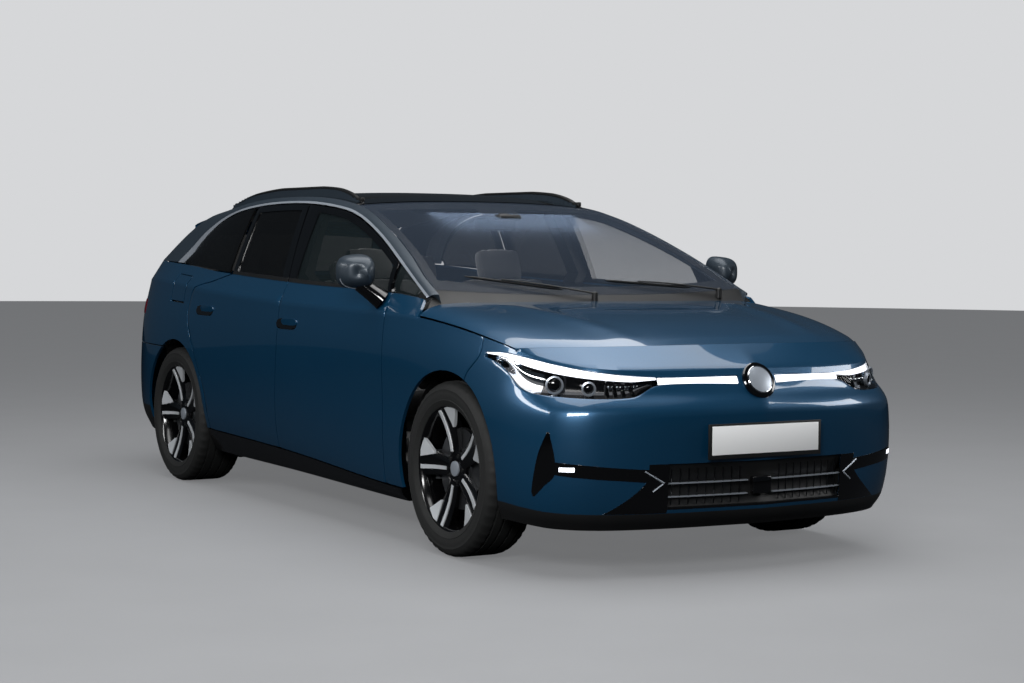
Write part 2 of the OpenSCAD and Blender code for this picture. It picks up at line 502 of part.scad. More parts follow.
// Roof, screen, bonnet and tailgate run from side to side.
across_u = [-1, -0.94, -0.82, -0.6, -0.3, 0, 0.3, 0.6, 0.82, 0.94, 1];
function crosswise(rows, u_edge, f) = [for (s = rows) [for (u = across_u) f(s, u * u_edge)]];
roof_rows = [for (s = steps(7, 13, 12)) (s - 7) / 6.05];
roof_inset = 0.97;
function lowered(g, d) = [for (r = g) [for (p = r) below(p, d)]];
roof_outer = crosswise(roof_rows, 0.999, function (s, u) roof_point(s, u));
roof_inner = lowered(crosswise(roof_rows, roof_inset, function (s, u) roof_point(s, u)), roof_depth);
glass_roof_rows = [1, 9];
glass_roof_cols = [2, 8];
module roof_panel() {
    color(gloss_black) slab(roof_outer, roof_inner, function (i, j)
        i < glass_roof_rows[0] || i >= glass_roof_rows[1] || j < glass_roof_cols[0] || j >= glass_roof_cols[1]);
}
module roof_glass() {
    color(glass_dark) pane(roof_outer, roof_inner, glass_roof_rows[0], glass_roof_rows[1],
                           glass_roof_cols[0], glass_roof_cols[1], 0.1, 0.1 + glass_depth / roof_depth);
}
module windscreen() {
    rows = [for (s = concat([0.3], steps(1, 6.5, 11), [6.9])) (s - 0.05) / 6.9];
    color(glass_dark) slab(crosswise(rows, 0.999, function (s, u) screen_point(s, u)),
                           lowered(crosswise(rows, 0.985, function (s, u) screen_point(s, u)), glass_depth + 1));
}
bonnet_rows = concat([0, 0.04], steps(0.12, 0.88, 8), [0.96, 1]);
bonnet_u = [-1, -0.975, -0.94, -0.86, -0.7, -0.45, -0.2, 0, 0.2, 0.45, 0.7, 0.86, 0.94, 0.975, 1];
bonnet_edge = 1 - shut_gap / 870;
bonnet_inner = [for (s = bonnet_rows) [for (u = bonnet_u)
    below(bonnet_point(mix(0.016, 0.984, s), u * bonnet_edge * 0.982), bonnet_depth)]];
module bonnet() {
    outer = [for (s = bonnet_rows) [for (u = bonnet_u) bonnet_point(s, u * bonnet_edge)]];
    color(paint) slab(outer, bonnet_inner);
}
gate_rows = [0, 1, 2, 2.2, 3, 3.3, 4, 5, 5.8, 6, 7, 8, 9, 10];
gate_outer = crosswise(gate_rows, 1, function (s, u) gate_point(s, u));
gate_inner = [for (i = [0 : len(gate_rows) - 1]) [for (j = [0 : len(across_u) - 1])
    gate_point(min(max(gate_rows[i], 0.25), 9.85), across_u[j] * 0.975)
    - (i < 2 ? [0, 0, gate_depth * 0.7] : i < 4 ? [0, 40, gate_depth + 6] : [0, gate_depth, i < 9 ? gate_depth * 0.5 : 0])]];
gate_glass_rows = [5, 8];
gate_lamp_rows = [11, 12];
module tailgate() {
    color(paint) slab(gate_outer, gate_inner, function (i, j)
        i < gate_glass_rows[0] || i >= gate_glass_rows[1] || j < 2 || j >= 8);
}
module tailgate_glass() {
    color(glass_dark) pane(gate_outer, gate_inner, gate_glass_rows[0], gate_glass_rows[1], 2, 8,
                           0.1, 0.1 + glass_depth / gate_depth);
}
module tailgate_lamp() {
    lens = drawn_in([for (s = [8.1, 8.5, 8.9]) [for (u = across_u) gate_point(s, u * 0.99) + [0, fit_gap * 2, 0]]], 1);
    color("#7a1518") slab([for (r = lens) [for (p = r) p + [0, 7, 0]]], lens);
}
// Raised rails stand along the roof's edges; their top line is the car's highest.
RAIL_HEIGHT = [[7, 6], [7.5, 36], [8, 48], [11, 46], [11.5, 38], [12, 22], [12.25, 6]];
rail_s = concat(steps(7, 12, 10), [12.25]);
function rail_base(s, u) = roof_point((s - 7) / 6.05, u) + [0, 0, fit_gap];
function rail_top(s, u) =
    let (p = rail_base(s, u)) [p[0], p[1], min(p[2] + follow(RAIL_HEIGHT, s)[0], body_height)];
module roof_rails() {
    for (side = [-1, 1]) mirrored(side) color(gloss_black)
        slab([[for (s = rail_s) rail_base(s, 0.965)], [for (s = rail_s) rail_top(s, 0.955)]],
             [[for (s = rail_s) rail_base(s, 0.915)], [for (s = rail_s) rail_top(s, 0.928)]]);
}

// Nose: the bumper wraps from one front wheel arch to the other.
LAMP_BOTTOM = [[-3129, 4.25], [-2686, 4.3], [-2560, 3.75], [-2245, 3.74], [-2110, 3.79], [-1950, 4.3],
               [-1830, 4.45], [-1700, 4.4]];
LAMP_TOP = [[-3129, 4.68], [-2686, 4.68], [-2560, 4.75], [-2412, 4.85], [-2245, 4.92], [-2110, 4.88],
            [-1950, 4.75], [-1830, 4.6], [-1700, 4.6]];
NOSE_T = [-1706, -1830, -1950, -2030, -2110, -2180, -2245, -2330, -2412, -2550, -2686, -2860, -3040];
nose_count = len(NOSE_T);
nose_rows = 10;
function nose_height(i, t) = i < 6 ? [0, 0.5, 1, 1.15, 2.2, 3][i]
    : i == 6 ? follow(LAMP_BOTTOM, t)[0] : i == 7 ? follow(LAMP_TOP, t)[0] : 5;
function nose_point(i, j) =
    let (k = nose_height(i, NOSE_T[j]), t = j == 0 ? follow(WING_CUT, k)[0] - half_gap : NOSE_T[j])
    i < 9 ? body_point(t, k) : j < 4 ? body_point(t, 5) + [0, 0, 8] : let (u = min(body_point(t, 5)[0] / 856, 1)) bonnet_point(0, u) - [0, shut_gap * (1 + 1.5 * u ^ 4), 0];
nose_grid = [for (i = [0 : nose_rows - 1]) concat(
    [for (j = [0 : nose_count - 1]) let (p = nose_point(i, j)) [-p[0], p[1], p[2]]],
    [let (p = nose_point(i, nose_count - 1)) i < 9 ? body_point(-3129, nose_height(i, -3129))
        : bonnet_point(0, 0) - [0, shut_gap, 0]],
    [for (j = [nose_count - 1 : -1 : 0]) nose_point(i, j)])];
nose_last = 2 * nose_count - 1;
// The edges beside the bonnet are folded straight down, clear of the bonnet's front and sides,
// and stop above the wall (from p to q) that bounds the lamp's opening.
function folded_down(edge, p, q) =
    let (across = [q[0] - p[0], q[1] - p[1]],
         u = max(0, min(1, [edge[0] - p[0], edge[1] - p[1]] * across / (across * across))))
    [edge[0], edge[1], max(edge[2] - panel_depth, (mix(p[2], q[2], u) + edge[2]) / 2)];
nose_inner = let (g = shrunk(nose_grid, panel_depth))
    [for (i = [0 : nose_rows - 1]) i < 8 ? g[i]
        : [for (j = [0 : len(g[i]) - 1]) folded_down(nose_grid[i][j], nose_grid[7][j], g[7][j])]];
function from_end(j) = min(j, nose_last - j);
function in_lamp(i, j) = i == 6 && from_end(j) >= 1 && from_end(j) < 10;
function in_bar(i, j) = i == 6 && from_end(j) >= 10 && from_end(j) < 12;
function in_grille(i, j) = i == 3 && from_end(j) >= 10;
module front_bumper() {
    color(paint) difference() {
        slab(nose_grid, nose_inner, function (i, j)
            !in_lamp(i, j) && !in_bar(i, j) && !in_grille(i, j) && (i < 8 || from_end(j) > 3));
        for (side = [-1, 1]) mirrored(side) front_arch_cut();
    }
}
// The lamps' openings are twisted, the right one more, so they take wider gaps than the straight ones.
right_lamp_fit = 2.1;
left_lamp_fit = 1.3;
opening_fit = 0.8;
module nose_fill(i0, i1, j0, j1, fit) {
    slab(drawn_in(part_of(nose_grid, i0, i1, j0, j1), fit), drawn_in(part_of(nose_inner, i0, i1, j0, j1), fit));
}
module headlamps() {
    color(gloss_black) nose_fill(6, 7, 1, 10, right_lamp_fit);
    color(gloss_black) nose_fill(6, 7, nose_last - 9, nose_last, left_lamp_fit);
}
module light_bar() {
    color("white") nose_fill(6, 7, 10, 12, opening_fit);
    color("white") nose_fill(6, 7, nose_last - 11, nose_last - 9, opening_fit);
}
module lower_grille() {
    color(plastic_black) difference() {
        nose_fill(3, 4, 10, nose_last - 9, opening_fit);
        tow_bore(tow_access_r, 200);
    }
}
plate_z = 527;
rear_plate_z = 560;
// Each plate stands on a plinth that reaches the bumper behind it.
front_plinth = 9.6;
rear_plinth = 8.6;
module plate(y0, y1, z) {
    box(-plate_width / 2, plate_width / 2, y0, y1, z - plate_height / 2, z + plate_height / 2);
}
module number_plates() {
    color("white") plate(nose_y, nose_y + front_plinth, plate_z);
    color("white") plate(tail_y - rear_plinth, tail_y, rear_plate_z);
}

// Tail: the bumper wraps from one rear wheel arch to the other.
TAIL_T = [1500, 1700, 1850, 2000, 2100, 2190, 2288, 2395, 2502, 2650, 2809, 2960];
TAIL_K = [0, 0.5, 1, 2, 3, 3.32];
tail_grid = [for (k = TAIL_K) concat(
    [for (t = TAIL_T) body_point(t, k)], [body_point(3109, k)],
    [for (j = [len(TAIL_T) - 1 : -1 : 0]) let (p = body_point(TAIL_T[j], k)) [-p[0], p[1], p[2]]])];
tail_inner = shrunk(tail_grid, panel_depth);
module rear_bumper() {
    color(paint) difference() {
        slab(tail_grid, tail_inner);
        for (side = [-1, 1]) mirrored(side) rear_arch_cut();
    }
}
lamp_row = 5;
lamp_col = 7;
module corner_lamps() {
    rows = part_of(quarter_outer, lamp_row, lamp_row + 1, lamp_col, len(quarter_outer[0]) - 1);
    lens = drawn_in([for (d = [0.1, 0.9]) [for (j = [0 : len(rows[0]) - 1]) mix(rows[0][j], rows[1][j], d)]], 4);
    for (side = [-1, 1]) mirrored(side) color("#7a1518") slab(shrunk(lens, -6), shrunk(lens, -0.8));
}

// Floor, battery, drive unit and the beams that carry the axles.
cabin_front = -1170;
cabin_rear = 1130;
floor_half = sill_in - fit_gap;
heel_y = 500;
heel_rise = 90;
side_member_in = 380;
side_member_out = 470;
floor_profile = [
    [place_y(cabin_front), floor_z], [place_y(heel_y), floor_z], [place_y(heel_y), floor_z + heel_rise],
    [place_y(960), floor_z + heel_rise], [place_y(1010), load_floor_z - 60], [place_y(1040), load_floor_z - 60],
    [place_y(1032), load_floor_z - 60 - floor_depth], [place_y(1024), load_floor_z - 60 - floor_depth],
    [place_y(979), floor_z + heel_rise - floor_depth], [place_y(heel_y) + floor_depth, floor_z + heel_rise - floor_depth],
    [place_y(heel_y) + floor_depth, floor_z - floor_depth], [place_y(cabin_front), floor_z - floor_depth]];
module floor_pan() {
    color(plastic_black) {
        lengthwise(-floor_half, floor_half, floor_profile);
        box(-side_member_out, side_member_out, place_y(1028), place_y(1062), 385, load_floor_z - 32);
        for (side = [-1, 1]) mirrored(side)
            box(side_member_in, side_member_out - 2, place_y(1045), place_y(2330), 432, load_floor_z - 30);
        box(-side_member_out, side_member_out, place_y(2290), place_y(2340), 436, load_floor_z - 34);
        bumper = mix(tail_inner[3][len(TAIL_T)], tail_inner[4][len(TAIL_T)], 0.5);
        box(-25, 25, place_y(2320), bumper[1] - 2 * fit_gap, bumper[2] - 5, bumper[2] + 5);
    }
}
battery_depth = 120;
module battery_pack() {
    top = floor_z - floor_depth - fit_gap;
    color(metal_grey) box(-640, 640, place_y(-1050), place_y(940), top - battery_depth, top);
}
motor_half = 190;
module drive_motor() {
    color(metal_grey) box(-motor_half, motor_half, rear_axle_y - 170, rear_axle_y + 240, rear_tyre_radius - 150, rear_tyre_radius + 170);
}
// Front suspension: side members, crossbeam, wishbones, spring legs and steering rack.
liner_gap = 8;
liner_depth = 5;
track_x_front = tyre_face_x - front_tyre_width / 2;
track_x_rear = tyre_face_x - rear_tyre_width / 2;
ball_joint_low = front_tyre_radius - 150;
ball_joint_high = front_tyre_radius + 160;
module rod(a, b, r) {
    v = b - a;
    translate(a) rotate([0, acos(v[2] / norm(v)), atan2(v[1], v[0])]) cylinder(r = r, h = norm(v), $fn = 32);
}
module front_axle() {
    y = front_axle_y;
    color(metal_grey) difference() {
        front_beams(y);
        tow_bore(tow_hole_r, 10);
    }
}
joint_half = 18;
joint_r = 26;
spring_x = side_member_out + 56;
tower_z = front_tyre_radius + front_arch_r + liner_gap + liner_depth + fit_gap;
module ball_joint(z) {
    translate([kingpin_x, front_axle_y, z - joint_half]) cylinder(r = joint_r, h = 2 * joint_half, $fn = 48);
}
module front_beams(y) {
    box(tow_x - 36, tow_x + 36, tow_face_y, nose_y + 338, tow_z - 30, 460);
    for (side = [-1, 1]) mirrored(side) {
        box(side_member_in, side_member_out, nose_y + 330, place_y(cabin_front) - bulkhead_wall - 2 * fit_gap, 470, 560);
        box(side_member_in + 5, side_member_out - 5, y - 60, y + 60, 205, 480);
        for (d = [-40, 40]) rod([side_member_out - 30, y + d, ball_joint_low], [kingpin_x, y + d / 8, ball_joint_low], 14);
        rod([side_member_out - 30, y, ball_joint_high + 10], [kingpin_x, y, ball_joint_high], 12);
        ball_joint(ball_joint_low);
        ball_joint(ball_joint_high);
        translate([spring_x, y, ball_joint_low - 10]) cylinder(r = 24, h = 300, $fn = 48);
        translate([spring_x, y, 480]) cylinder(r = 44, h = tower_z + 12 - 480, $fn = 64);
        box(side_member_in + 10, 690, y - 55, y + 55, tower_z, tower_z + 26);
        box(side_member_in + 10, side_member_out - 10, y - 50, y + 50, 550, tower_z + 10);
    }
    box(-side_member_out + 20, side_member_out - 20, y - 130, y - 50, 215, 275);
    box(-side_member_out - 4, side_member_out + 4, nose_y + 300, nose_y + 340, 440, 600);
    rod([-side_member_out - 20, y + 40, 290], [side_member_out + 20, y + 40, 290], 22);
    bumper = mix(nose_inner[4][nose_count], nose_inner[5][nose_count], 0.5);
    box(-8, 8, bumper[1] + 4 * fit_gap, nose_y + 310, bumper[2] - 5, bumper[2] + 5);
    latch = bonnet_inner[latch_row][latch_col];
    box(-40, 40, latch[1], latch[1] + 30, 590, latch[2] - fit_gap);
    box(-40, 40, nose_y + 320, latch[1] + 30, 560, 598);
}
// The bonnet rests on its latch at the front.
latch_row = 2;
latch_col = 7;
// Screw-in towing eye: a threaded boss on the front crossbeam, reached through the grille.
tow_x = -300;
tow_z = 350;
tow_face_y = nose_y + 150;
tow_depth = 70;
tow_access_r = tow_hole_r + 16;
module tow_bore(r, depth) {
    translate([tow_x, tow_face_y + tow_depth, tow_z]) rotate([90, 0, 0]) cylinder(r = r, h = depth + tow_depth, $fn = 48);
}
half_shaft_r = 28;
disc_face_x = tyre_face_x - 93;
hub_end = disc_face_x - seal_gap;
// A brake caliper straddles the edge of its disc, on a bracket that starts at x0.
module caliper(y, z, x0) {
    difference() {
        box(790, disc_face_x + 28, y + 110, y + 200, z - 60, z + 60);
        across(y, z, disc_r + 6, disc_face_x - 6, disc_face_x + 60);
    }
    box(x0, 800, y + 20, y + 125, z - 24, z + 24);
}
module rear_axle() {
    y = rear_axle_y;
    z = rear_tyre_radius;
    carrier = track_x_rear - 110;
    color(metal_grey) {
        for (side = [-1, 1]) mirrored(side) {
            rod([motor_half + fit_gap, y, z], [carrier, y, z], half_shaft_r);
            rod([side_member_out - 60, y - 330, 250], [carrier, y - 10, z - 112], 22);
            rod([side_member_out - 40, y + 100, 250], [carrier, y + 10, z - 108], 18);
            rod([side_member_out - 70, y + 60, 400], [carrier, y, z + 110], 14);
            box(side_member_out - 80, side_member_out - 50, y + 20, y + 110, 235, 418);
            translate([side_member_out + 60, y, z - 100]) cylinder(r = 42, h = 190, $fn = 48);
            translate([side_member_out + 60, y, z + 80]) cylinder(r = 24, h = load_floor_z - 44 - z - 80, $fn = 48);
            box(side_member_out - 2 + fit_gap, side_member_out + 95, y - 48, y + 48, load_floor_z - 60, load_floor_z - 34);
            box(carrier - 18, carrier + 40, y - 45, y + 45, z - 140, z + 140);
            across(y, z, 46, carrier + 30, hub_end);
            caliper(y, z, carrier + 20);
            box(side_member_in + 8, side_member_out - 8, y - 360, y + 108, 225, 265);
        }
        box(-side_member_out, side_member_out, y - 380, y - 300, 210, 280);
        box(-side_member_out + 4, side_member_out - 4, y - 350, y - 325, 270, 385 - fit_gap);
    }
}
// Steered knuckle: upright between the two ball joints, hub and brake caliper.
module knuckle(side) {
    y = front_axle_y;
    z = front_tyre_radius;
    mirrored(side) color(metal_grey) {
        box(kingpin_x - 34, kingpin_x + 20, y - 34, y + 34, ball_joint_low + joint_half + seal_gap,
            ball_joint_high - joint_half - seal_gap);
        across(y, z, 46, kingpin_x + 10, hub_end);
        caliper(y, z, kingpin_x - 10);
        box(kingpin_x - 30, kingpin_x - 6, y + 20, y + 150, z - 76, z - 50);
    }
}

// Wheels turn about X through the axle; the rim carries five spokes, its disc and its cap.
rim_lip_r = bead_radius + 10;
rim_wall = 12;
hub_r = 78;
disc_r = 172;
spoke_count = 5;
module tyre(track_x, y, r, w) {
    half = w / 2;
    shoulder = 22;
    color("#18191a") translate([track_x, y, r]) rotate([0, 90, 0]) rotate_extrude($fn = 96)
        polygon([[bead_radius, -half + 24], [bead_radius, half - 24], [rim_lip_r + 1, half - 24], [rim_lip_r + 5, half - 8], [r - 55, half],
                 [r - shoulder, half - 7], [r - 6, half - shoulder], [r, half - shoulder - 18],
                 [r, -half + shoulder + 18], [r - 6, -half + shoulder], [r - shoulder, -half + 7],
                 [r - 55, -half], [rim_lip_r + 5, -half + 8], [rim_lip_r + 1, -half + 24]]);
}
module rim(track_x, y, r, w) {
    half = w / 2 - 13;
    seat = bead_radius - fit_gap;
    spoke_root = 62;
    spoke_tip = 78;
    color(gloss_black) translate([track_x, y, r]) rotate([0, 90, 0]) {
        rotate_extrude($fn = 96) polygon([[seat - rim_wall, -half + 10], [seat, -half + 10], [seat, half - 10],
            [rim_lip_r, half - 8], [rim_lip_r, half], [seat - rim_wall + 3, half], [seat - rim_wall, half - 20]]);
        for (i = [0 : spoke_count - 1]) rotate([0, 0, 180 + i * 360 / spoke_count])
            translate([0, 0, half - 44]) linear_extrude(34)
                polygon([[hub_r - 20, -spoke_root / 2], [seat - 4, -spoke_tip / 2], [seat - 4, spoke_tip / 2], [hub_r - 20, spoke_root / 2]]);
        translate([0, 0, half - 60]) cylinder(r = hub_r, h = 52, $fn = 64);
        translate([0, 0, disc_face_x - track_x]) cylinder(r = disc_r, h = 26, $fn = 72);
    }
}
liner_out = 858;
module liner(y, tyre_r, in) {
    r = tyre_r + arch_gap + liner_gap;
    color(plastic_black) difference() {
        across(y, tyre_r, r + liner_depth, in, liner_out);
        across(y, tyre_r, r, in - 10, liner_out + 10);
        box(in - 20, liner_out + 20, y - 600, y + 600, -200, tyre_r - 40);
    }
}
module wheel_liners() {
    for (side = [-1, 1]) mirrored(side) {
        liner(front_axle_y, front_tyre_radius, 670);
        liner(rear_axle_y, rear_tyre_radius, load_half + fit_gap);
    }
}

// Cabin.
bulkhead_wall = 20;
cowl_z = 986;
module front_bulkhead() {
    y = place_y(cabin_front);
    color(plastic_black) {
        box(-640, 640, y - bulkhead_wall - fit_gap, y - fit_gap, floor_z - floor_depth, 930);
        lengthwise(-770, 770, [[y - bulkhead_wall - fit_gap, 800], [y - bulkhead_wall - fit_gap, 900], [y - 175, cowl_z - 14],
            [y - 175, cowl_z], [y - 110, cowl_z], [y - fit_gap, 930], [y - fit_gap, 800]]);
    }
}
dash_rear = -760;
module dashboard() {
    y = place_y(cabin_front);
    rear = place_y(dash_rear);
    color(leather_black) {
        lengthwise(-690, 690, [[y + fit_gap, 700], [y + fit_gap, 940], [y + 90, 992], [rear - 60, 985], [rear, 950], [rear - 6, 900],
                             [rear - 40, 860], [rear - 60, 720], [rear - 150, 640], [y + 60, 640]]);
        steering_place() translate([0, 0, -240]) cylinder(r = 34, h = 240 - boss_depth - seal_gap, $fn = 48);
        translate([0, rear + 10, 960]) rotate([-8, 0, 0]) box(-180, 180, -14, 4, -110, 110);
        translate([-seat_x, rear - 8, 985]) rotate([-12, 0, 0]) box(-100, 100, -14, 4, -50, 40);
    }
}
// The steering wheel turns on a fixed column that comes out of the dashboard.
wheel_tilt = 66;
wheel_z = 905;
boss_depth = 100;
module steering_place() {
    translate([-seat_x, place_y(dash_rear) + 140, wheel_z]) rotate([-wheel_tilt, 0, 0]) children();
}
module steering_wheel() {
    grip = 16;
    color(leather_black) steering_place() {
        rotate_extrude($fn = 72) translate([steering_wheel_d / 2 - grip, 0]) circle(grip, $fn = 24);
        cylinder(r = 62, h = 50, center = true, $fn = 48);
        for (a = [0, 180]) rotate([0, 0, a]) translate([40, -20, -12]) cube([steering_wheel_d / 2 - grip - 44, 40, 20]);
        translate([-18, -steering_wheel_d / 2 + grip, -10]) cube([36, steering_wheel_d / 2 - grip - 40, 16]);
        translate([0, 0, -boss_depth]) cylinder(r = 30, h = boss_depth - 10, $fn = 40);
    }
}
console_half = 105;
module centre_console() {
    color(leather_black) lengthwise(-console_half, console_half,
        [[place_y(dash_rear) - 20, floor_z + fit_gap], [place_y(dash_rear) - 20, 600], [place_y(dash_rear) + 60, 620],
         [place_y(-330), 640], [place_y(-300), 690], [place_y(120), 690], [place_y(150), 660], [place_y(170), floor_z + fit_gap]]);
}
front_seat_y = -230;
seat_top = 590;
recline = 20;
module seat(width, y, top, back_height, rest_half) {
    color(leather_black) {
        translate([-width / 2, y, 0]) rotate([90, 0, 90]) linear_extrude(width) polygon([
            [-290, top - cushion_depth - 10], [-300, top - 20], [-280, top + 4], [200, top - 26], [210, top - cushion_depth - 10]]);
        translate([0, y + 184, top - 30]) rotate([-recline, 0, 0])
            linear_extrude(back_height) polygon([[-width / 2, 20], [-width / 2 + 40, 0], [width / 2 - 40, 0], [width / 2, 20],
                                      [width / 2 - 20, back_depth], [-width / 2 + 20, back_depth]]);
        translate([0, y + 184, top - 30]) rotate([-recline, 0, 0])
            translate([-rest_half, 10, back_height - 20]) cube([rest_half * 2, back_depth - 30, 190]);
    }
}
module front_seats() {
    base_z = floor_z + fit_gap;
    for (side = [-1, 1]) translate([side * seat_x, 0, 0]) {
        seat(seat_width - 40, place_y(front_seat_y), seat_top, 560, 120);
        color(plastic_black) for (x = [-190, 150])
            box(x, x + 40, place_y(front_seat_y) - 240, place_y(front_seat_y) + 180, base_z, seat_top - cushion_depth + 10);
    }
}
rear_seat_y = 700;
module rear_seat() {
    y = place_y(rear_seat_y);
    base_z = floor_z + heel_rise + fit_gap;
    color(leather_black) {
        lengthwise(-640, 640, [[y - 250, base_z], [y - 270, seat_top - 30], [y - 240, seat_top - 4], [y + 180, seat_top - 34],
                             [y + 420, 1075], [y + 420 + back_depth, 1075], [y + 185 + back_depth, seat_top - 30], [y + 150, base_z]]);
        for (x = [-430, 0, 430]) translate([x, y + 430, 1068]) rotate([-recline, 0, 0]) translate([-115, 0, 0])
            cube([230, 80, x == 0 ? 110 : 140]);
    }
}
load_half = 640;
load_wall = 20;
load_sill_y = place_y(2270);
striker_share = 0.78;
module load_floor() {
    bottom = load_floor_z - 30 + fit_gap;
    striker = mix(gate_outer[len(gate_rows) - 1][5], gate_inner[len(gate_rows) - 1][5], striker_share);
    color(plastic_black) {
        box(-load_half, load_half, place_y(1070), load_sill_y + 20, bottom, load_floor_z);
        for (side = [-1, 1]) mirrored(side)
            box(load_half - load_wall, load_half, place_y(1215), place_y(2215), load_floor_z - 10, 1000);
        box(-load_half, load_half, load_sill_y, load_sill_y + 20, bottom, 706);
        box(-35, 35, load_sill_y + 10, striker[1], 690, striker[2] - seal_gap);
    }
}
// Wipers park along the foot of the screen, on spindles that stand on the cowl.
wiper_reach = 560;
module wipers() {
    color(plastic_black) for (x = [-60, 640]) {
        foot = screen_point(0.036, x / 806);
        y = mix(bonnet_point(1, x / 870)[1], foot[1], 0.5);
        tip = screen_point(0.15, (x - wiper_reach) / 800) + [0, -8, 14];
        translate([x, y, cowl_z + fit_gap]) cylinder(r = 9, h = foot[2] + 8 - cowl_z, $fn = 32);
        rod([x, y, foot[2] + 2], tip, 5);
    }
}

floor_pan();
battery_pack();
drive_motor();
front_axle();
rear_axle();
front_bulkhead();
side_sills();
door_pillars();
body_side(1);  // body_side_left
body_side(-1);  // body_side_right
rear_quarter(1);  // rear_quarter_left
rear_quarter(-1);  // rear_quarter_right
roof_panel();
roof_glass();
roof_rails();
windscreen();
fixed_side_glass();
front_wing(1);  // front_wing_left
front_wing(-1);  // front_wing_right
front_bumper();
lower_grille();
headlamps();
light_bar();
number_plates();
rear_bumper();
corner_lamps();
wheel_liners();
load_floor();
dashboard();
centre_console();
front_seats();
rear_seat();
wipers();
bonnet();
steering_wheel();
front_door(1);  // front_door_left
front_door(-1);  // front_door_right
rear_door(1);  // rear_door_left
rear_door(-1);  // rear_door_right
door_pane(front_door_outer, front_door_inner);  // front_door_glass_left
mirrored(-1) door_pane(front_door_outer, front_door_inner);  // front_door_glass_right
door_pane(rear_door_outer, rear_door_inner);  // rear_door_glass_left
mirrored(-1) door_pane(rear_door_outer, rear_door_inner);  // rear_door_glass_right
door_mirror(1);  // door_mirror_left
door_mirror(-1);  // door_mirror_right
tailgate();
tailgate_glass();
tailgate_lamp();
charge_flap();
knuckle(1);  // knuckle_left
knuckle(-1);  // knuckle_right
tyre(track_x_front, front_axle_y, front_tyre_radius, front_tyre_width);  // tyre_front_left
mirrored(-1) tyre(track_x_front, front_axle_y, front_tyre_radius, front_tyre_width);  // tyre_front_right
tyre(track_x_rear, rear_axle_y, rear_tyre_radius, rear_tyre_width);  // tyre_rear_left
mirrored(-1) tyre(track_x_rear, rear_axle_y, rear_tyre_radius, rear_tyre_width);  // tyre_rear_right
rim(track_x_front, front_axle_y, front_tyre_radius, front_tyre_width);  // rim_front_left
mirrored(-1) rim(track_x_front, front_axle_y, front_tyre_radius, front_tyre_width);  // rim_front_right
rim(track_x_rear, rear_axle_y, rear_tyre_radius, rear_tyre_width);  // rim_rear_left
mirrored(-1) rim(track_x_rear, rear_axle_y, rear_tyre_radius, rear_tyre_width);  // rim_rear_right
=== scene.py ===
"""Looks of a five-door electric station wagon, modelled round its packed frame."""

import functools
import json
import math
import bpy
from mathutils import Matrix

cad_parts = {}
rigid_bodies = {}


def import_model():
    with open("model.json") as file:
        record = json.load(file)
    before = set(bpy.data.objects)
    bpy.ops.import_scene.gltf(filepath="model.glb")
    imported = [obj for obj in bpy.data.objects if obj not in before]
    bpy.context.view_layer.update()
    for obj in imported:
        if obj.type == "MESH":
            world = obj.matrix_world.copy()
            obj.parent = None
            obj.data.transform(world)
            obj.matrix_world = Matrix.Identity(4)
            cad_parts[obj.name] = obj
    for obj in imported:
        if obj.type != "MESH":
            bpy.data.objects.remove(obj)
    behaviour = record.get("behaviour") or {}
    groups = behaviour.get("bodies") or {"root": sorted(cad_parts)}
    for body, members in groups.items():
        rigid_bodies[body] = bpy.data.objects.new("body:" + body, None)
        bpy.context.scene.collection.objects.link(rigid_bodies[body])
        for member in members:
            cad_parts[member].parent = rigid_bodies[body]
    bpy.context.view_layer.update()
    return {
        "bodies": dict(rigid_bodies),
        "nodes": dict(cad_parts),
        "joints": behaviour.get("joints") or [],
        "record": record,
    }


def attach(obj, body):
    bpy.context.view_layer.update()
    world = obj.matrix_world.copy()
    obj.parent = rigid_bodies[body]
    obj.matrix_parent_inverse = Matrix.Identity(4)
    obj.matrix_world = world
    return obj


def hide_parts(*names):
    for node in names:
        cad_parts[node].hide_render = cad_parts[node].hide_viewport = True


bl_info = {
    "name": "Electric Station Wagon",
    "version": (1, 0, 0),
    "blender": (4, 5, 0),
    "location": "View3D > Sidebar > Wagon",
    "description": "Models the panels, glass, lamps, wheels and cabin of a station wagon",
    "category": "Object",
}

import bmesh
import bpy
from mathutils import Matrix, Vector

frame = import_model()
MM = 0.001
FRONT_AXLE_Y = -1555.5
REAR_AXLE_Y = 1415.5
TYRE = {"front": (359, 235, 798.5, FRONT_AXLE_Y), "rear": (356, 255, 788.5, REAR_AXLE_Y)}
FLOOR_Z = 300
SEAT_X = 370

# ------------------------------------------------------------------ body surfaces, in millimetres


def follow(rows, key):
    """A smooth curve through rows of [key, a, b, ...], one column at a time."""
    last = len(rows) - 1
    key = min(max(key, rows[0][0]), rows[last][0])
    i = 0
    while i < last - 1 and key > rows[i + 1][0]:
        i += 1
    span = rows[i + 1][0] - rows[i][0]
    u = (key - rows[i][0]) / span

    def slope(n, c):
        a, b = rows[max(n - 1, 0)], rows[min(n + 1, last)]
        return (b[c] - a[c]) / (b[0] - a[0])

    return [ease(rows[i][c], rows[i + 1][c], slope(i, c), slope(i + 1, c), span, u)
            for c in range(1, len(rows[0]))]


def ease(a, b, slope_a, slope_b, span, u):
    """Cubic step from a to b with given slopes."""
    return ((2 * u ** 3 - 3 * u ** 2 + 1) * a + (u ** 3 - 2 * u ** 2 + u) * span * slope_a
            + (3 * u ** 2 - 2 * u ** 3) * b + (u ** 3 - u ** 2) * span * slope_b)


def mix(a, b, u):
    """A share u of the way from a to b."""
    return a + (b - a) * u


def steps(a, b, n):
    """From a to b in n equal parts."""
    return [a + (b - a) * i / n for i in range(n + 1)]


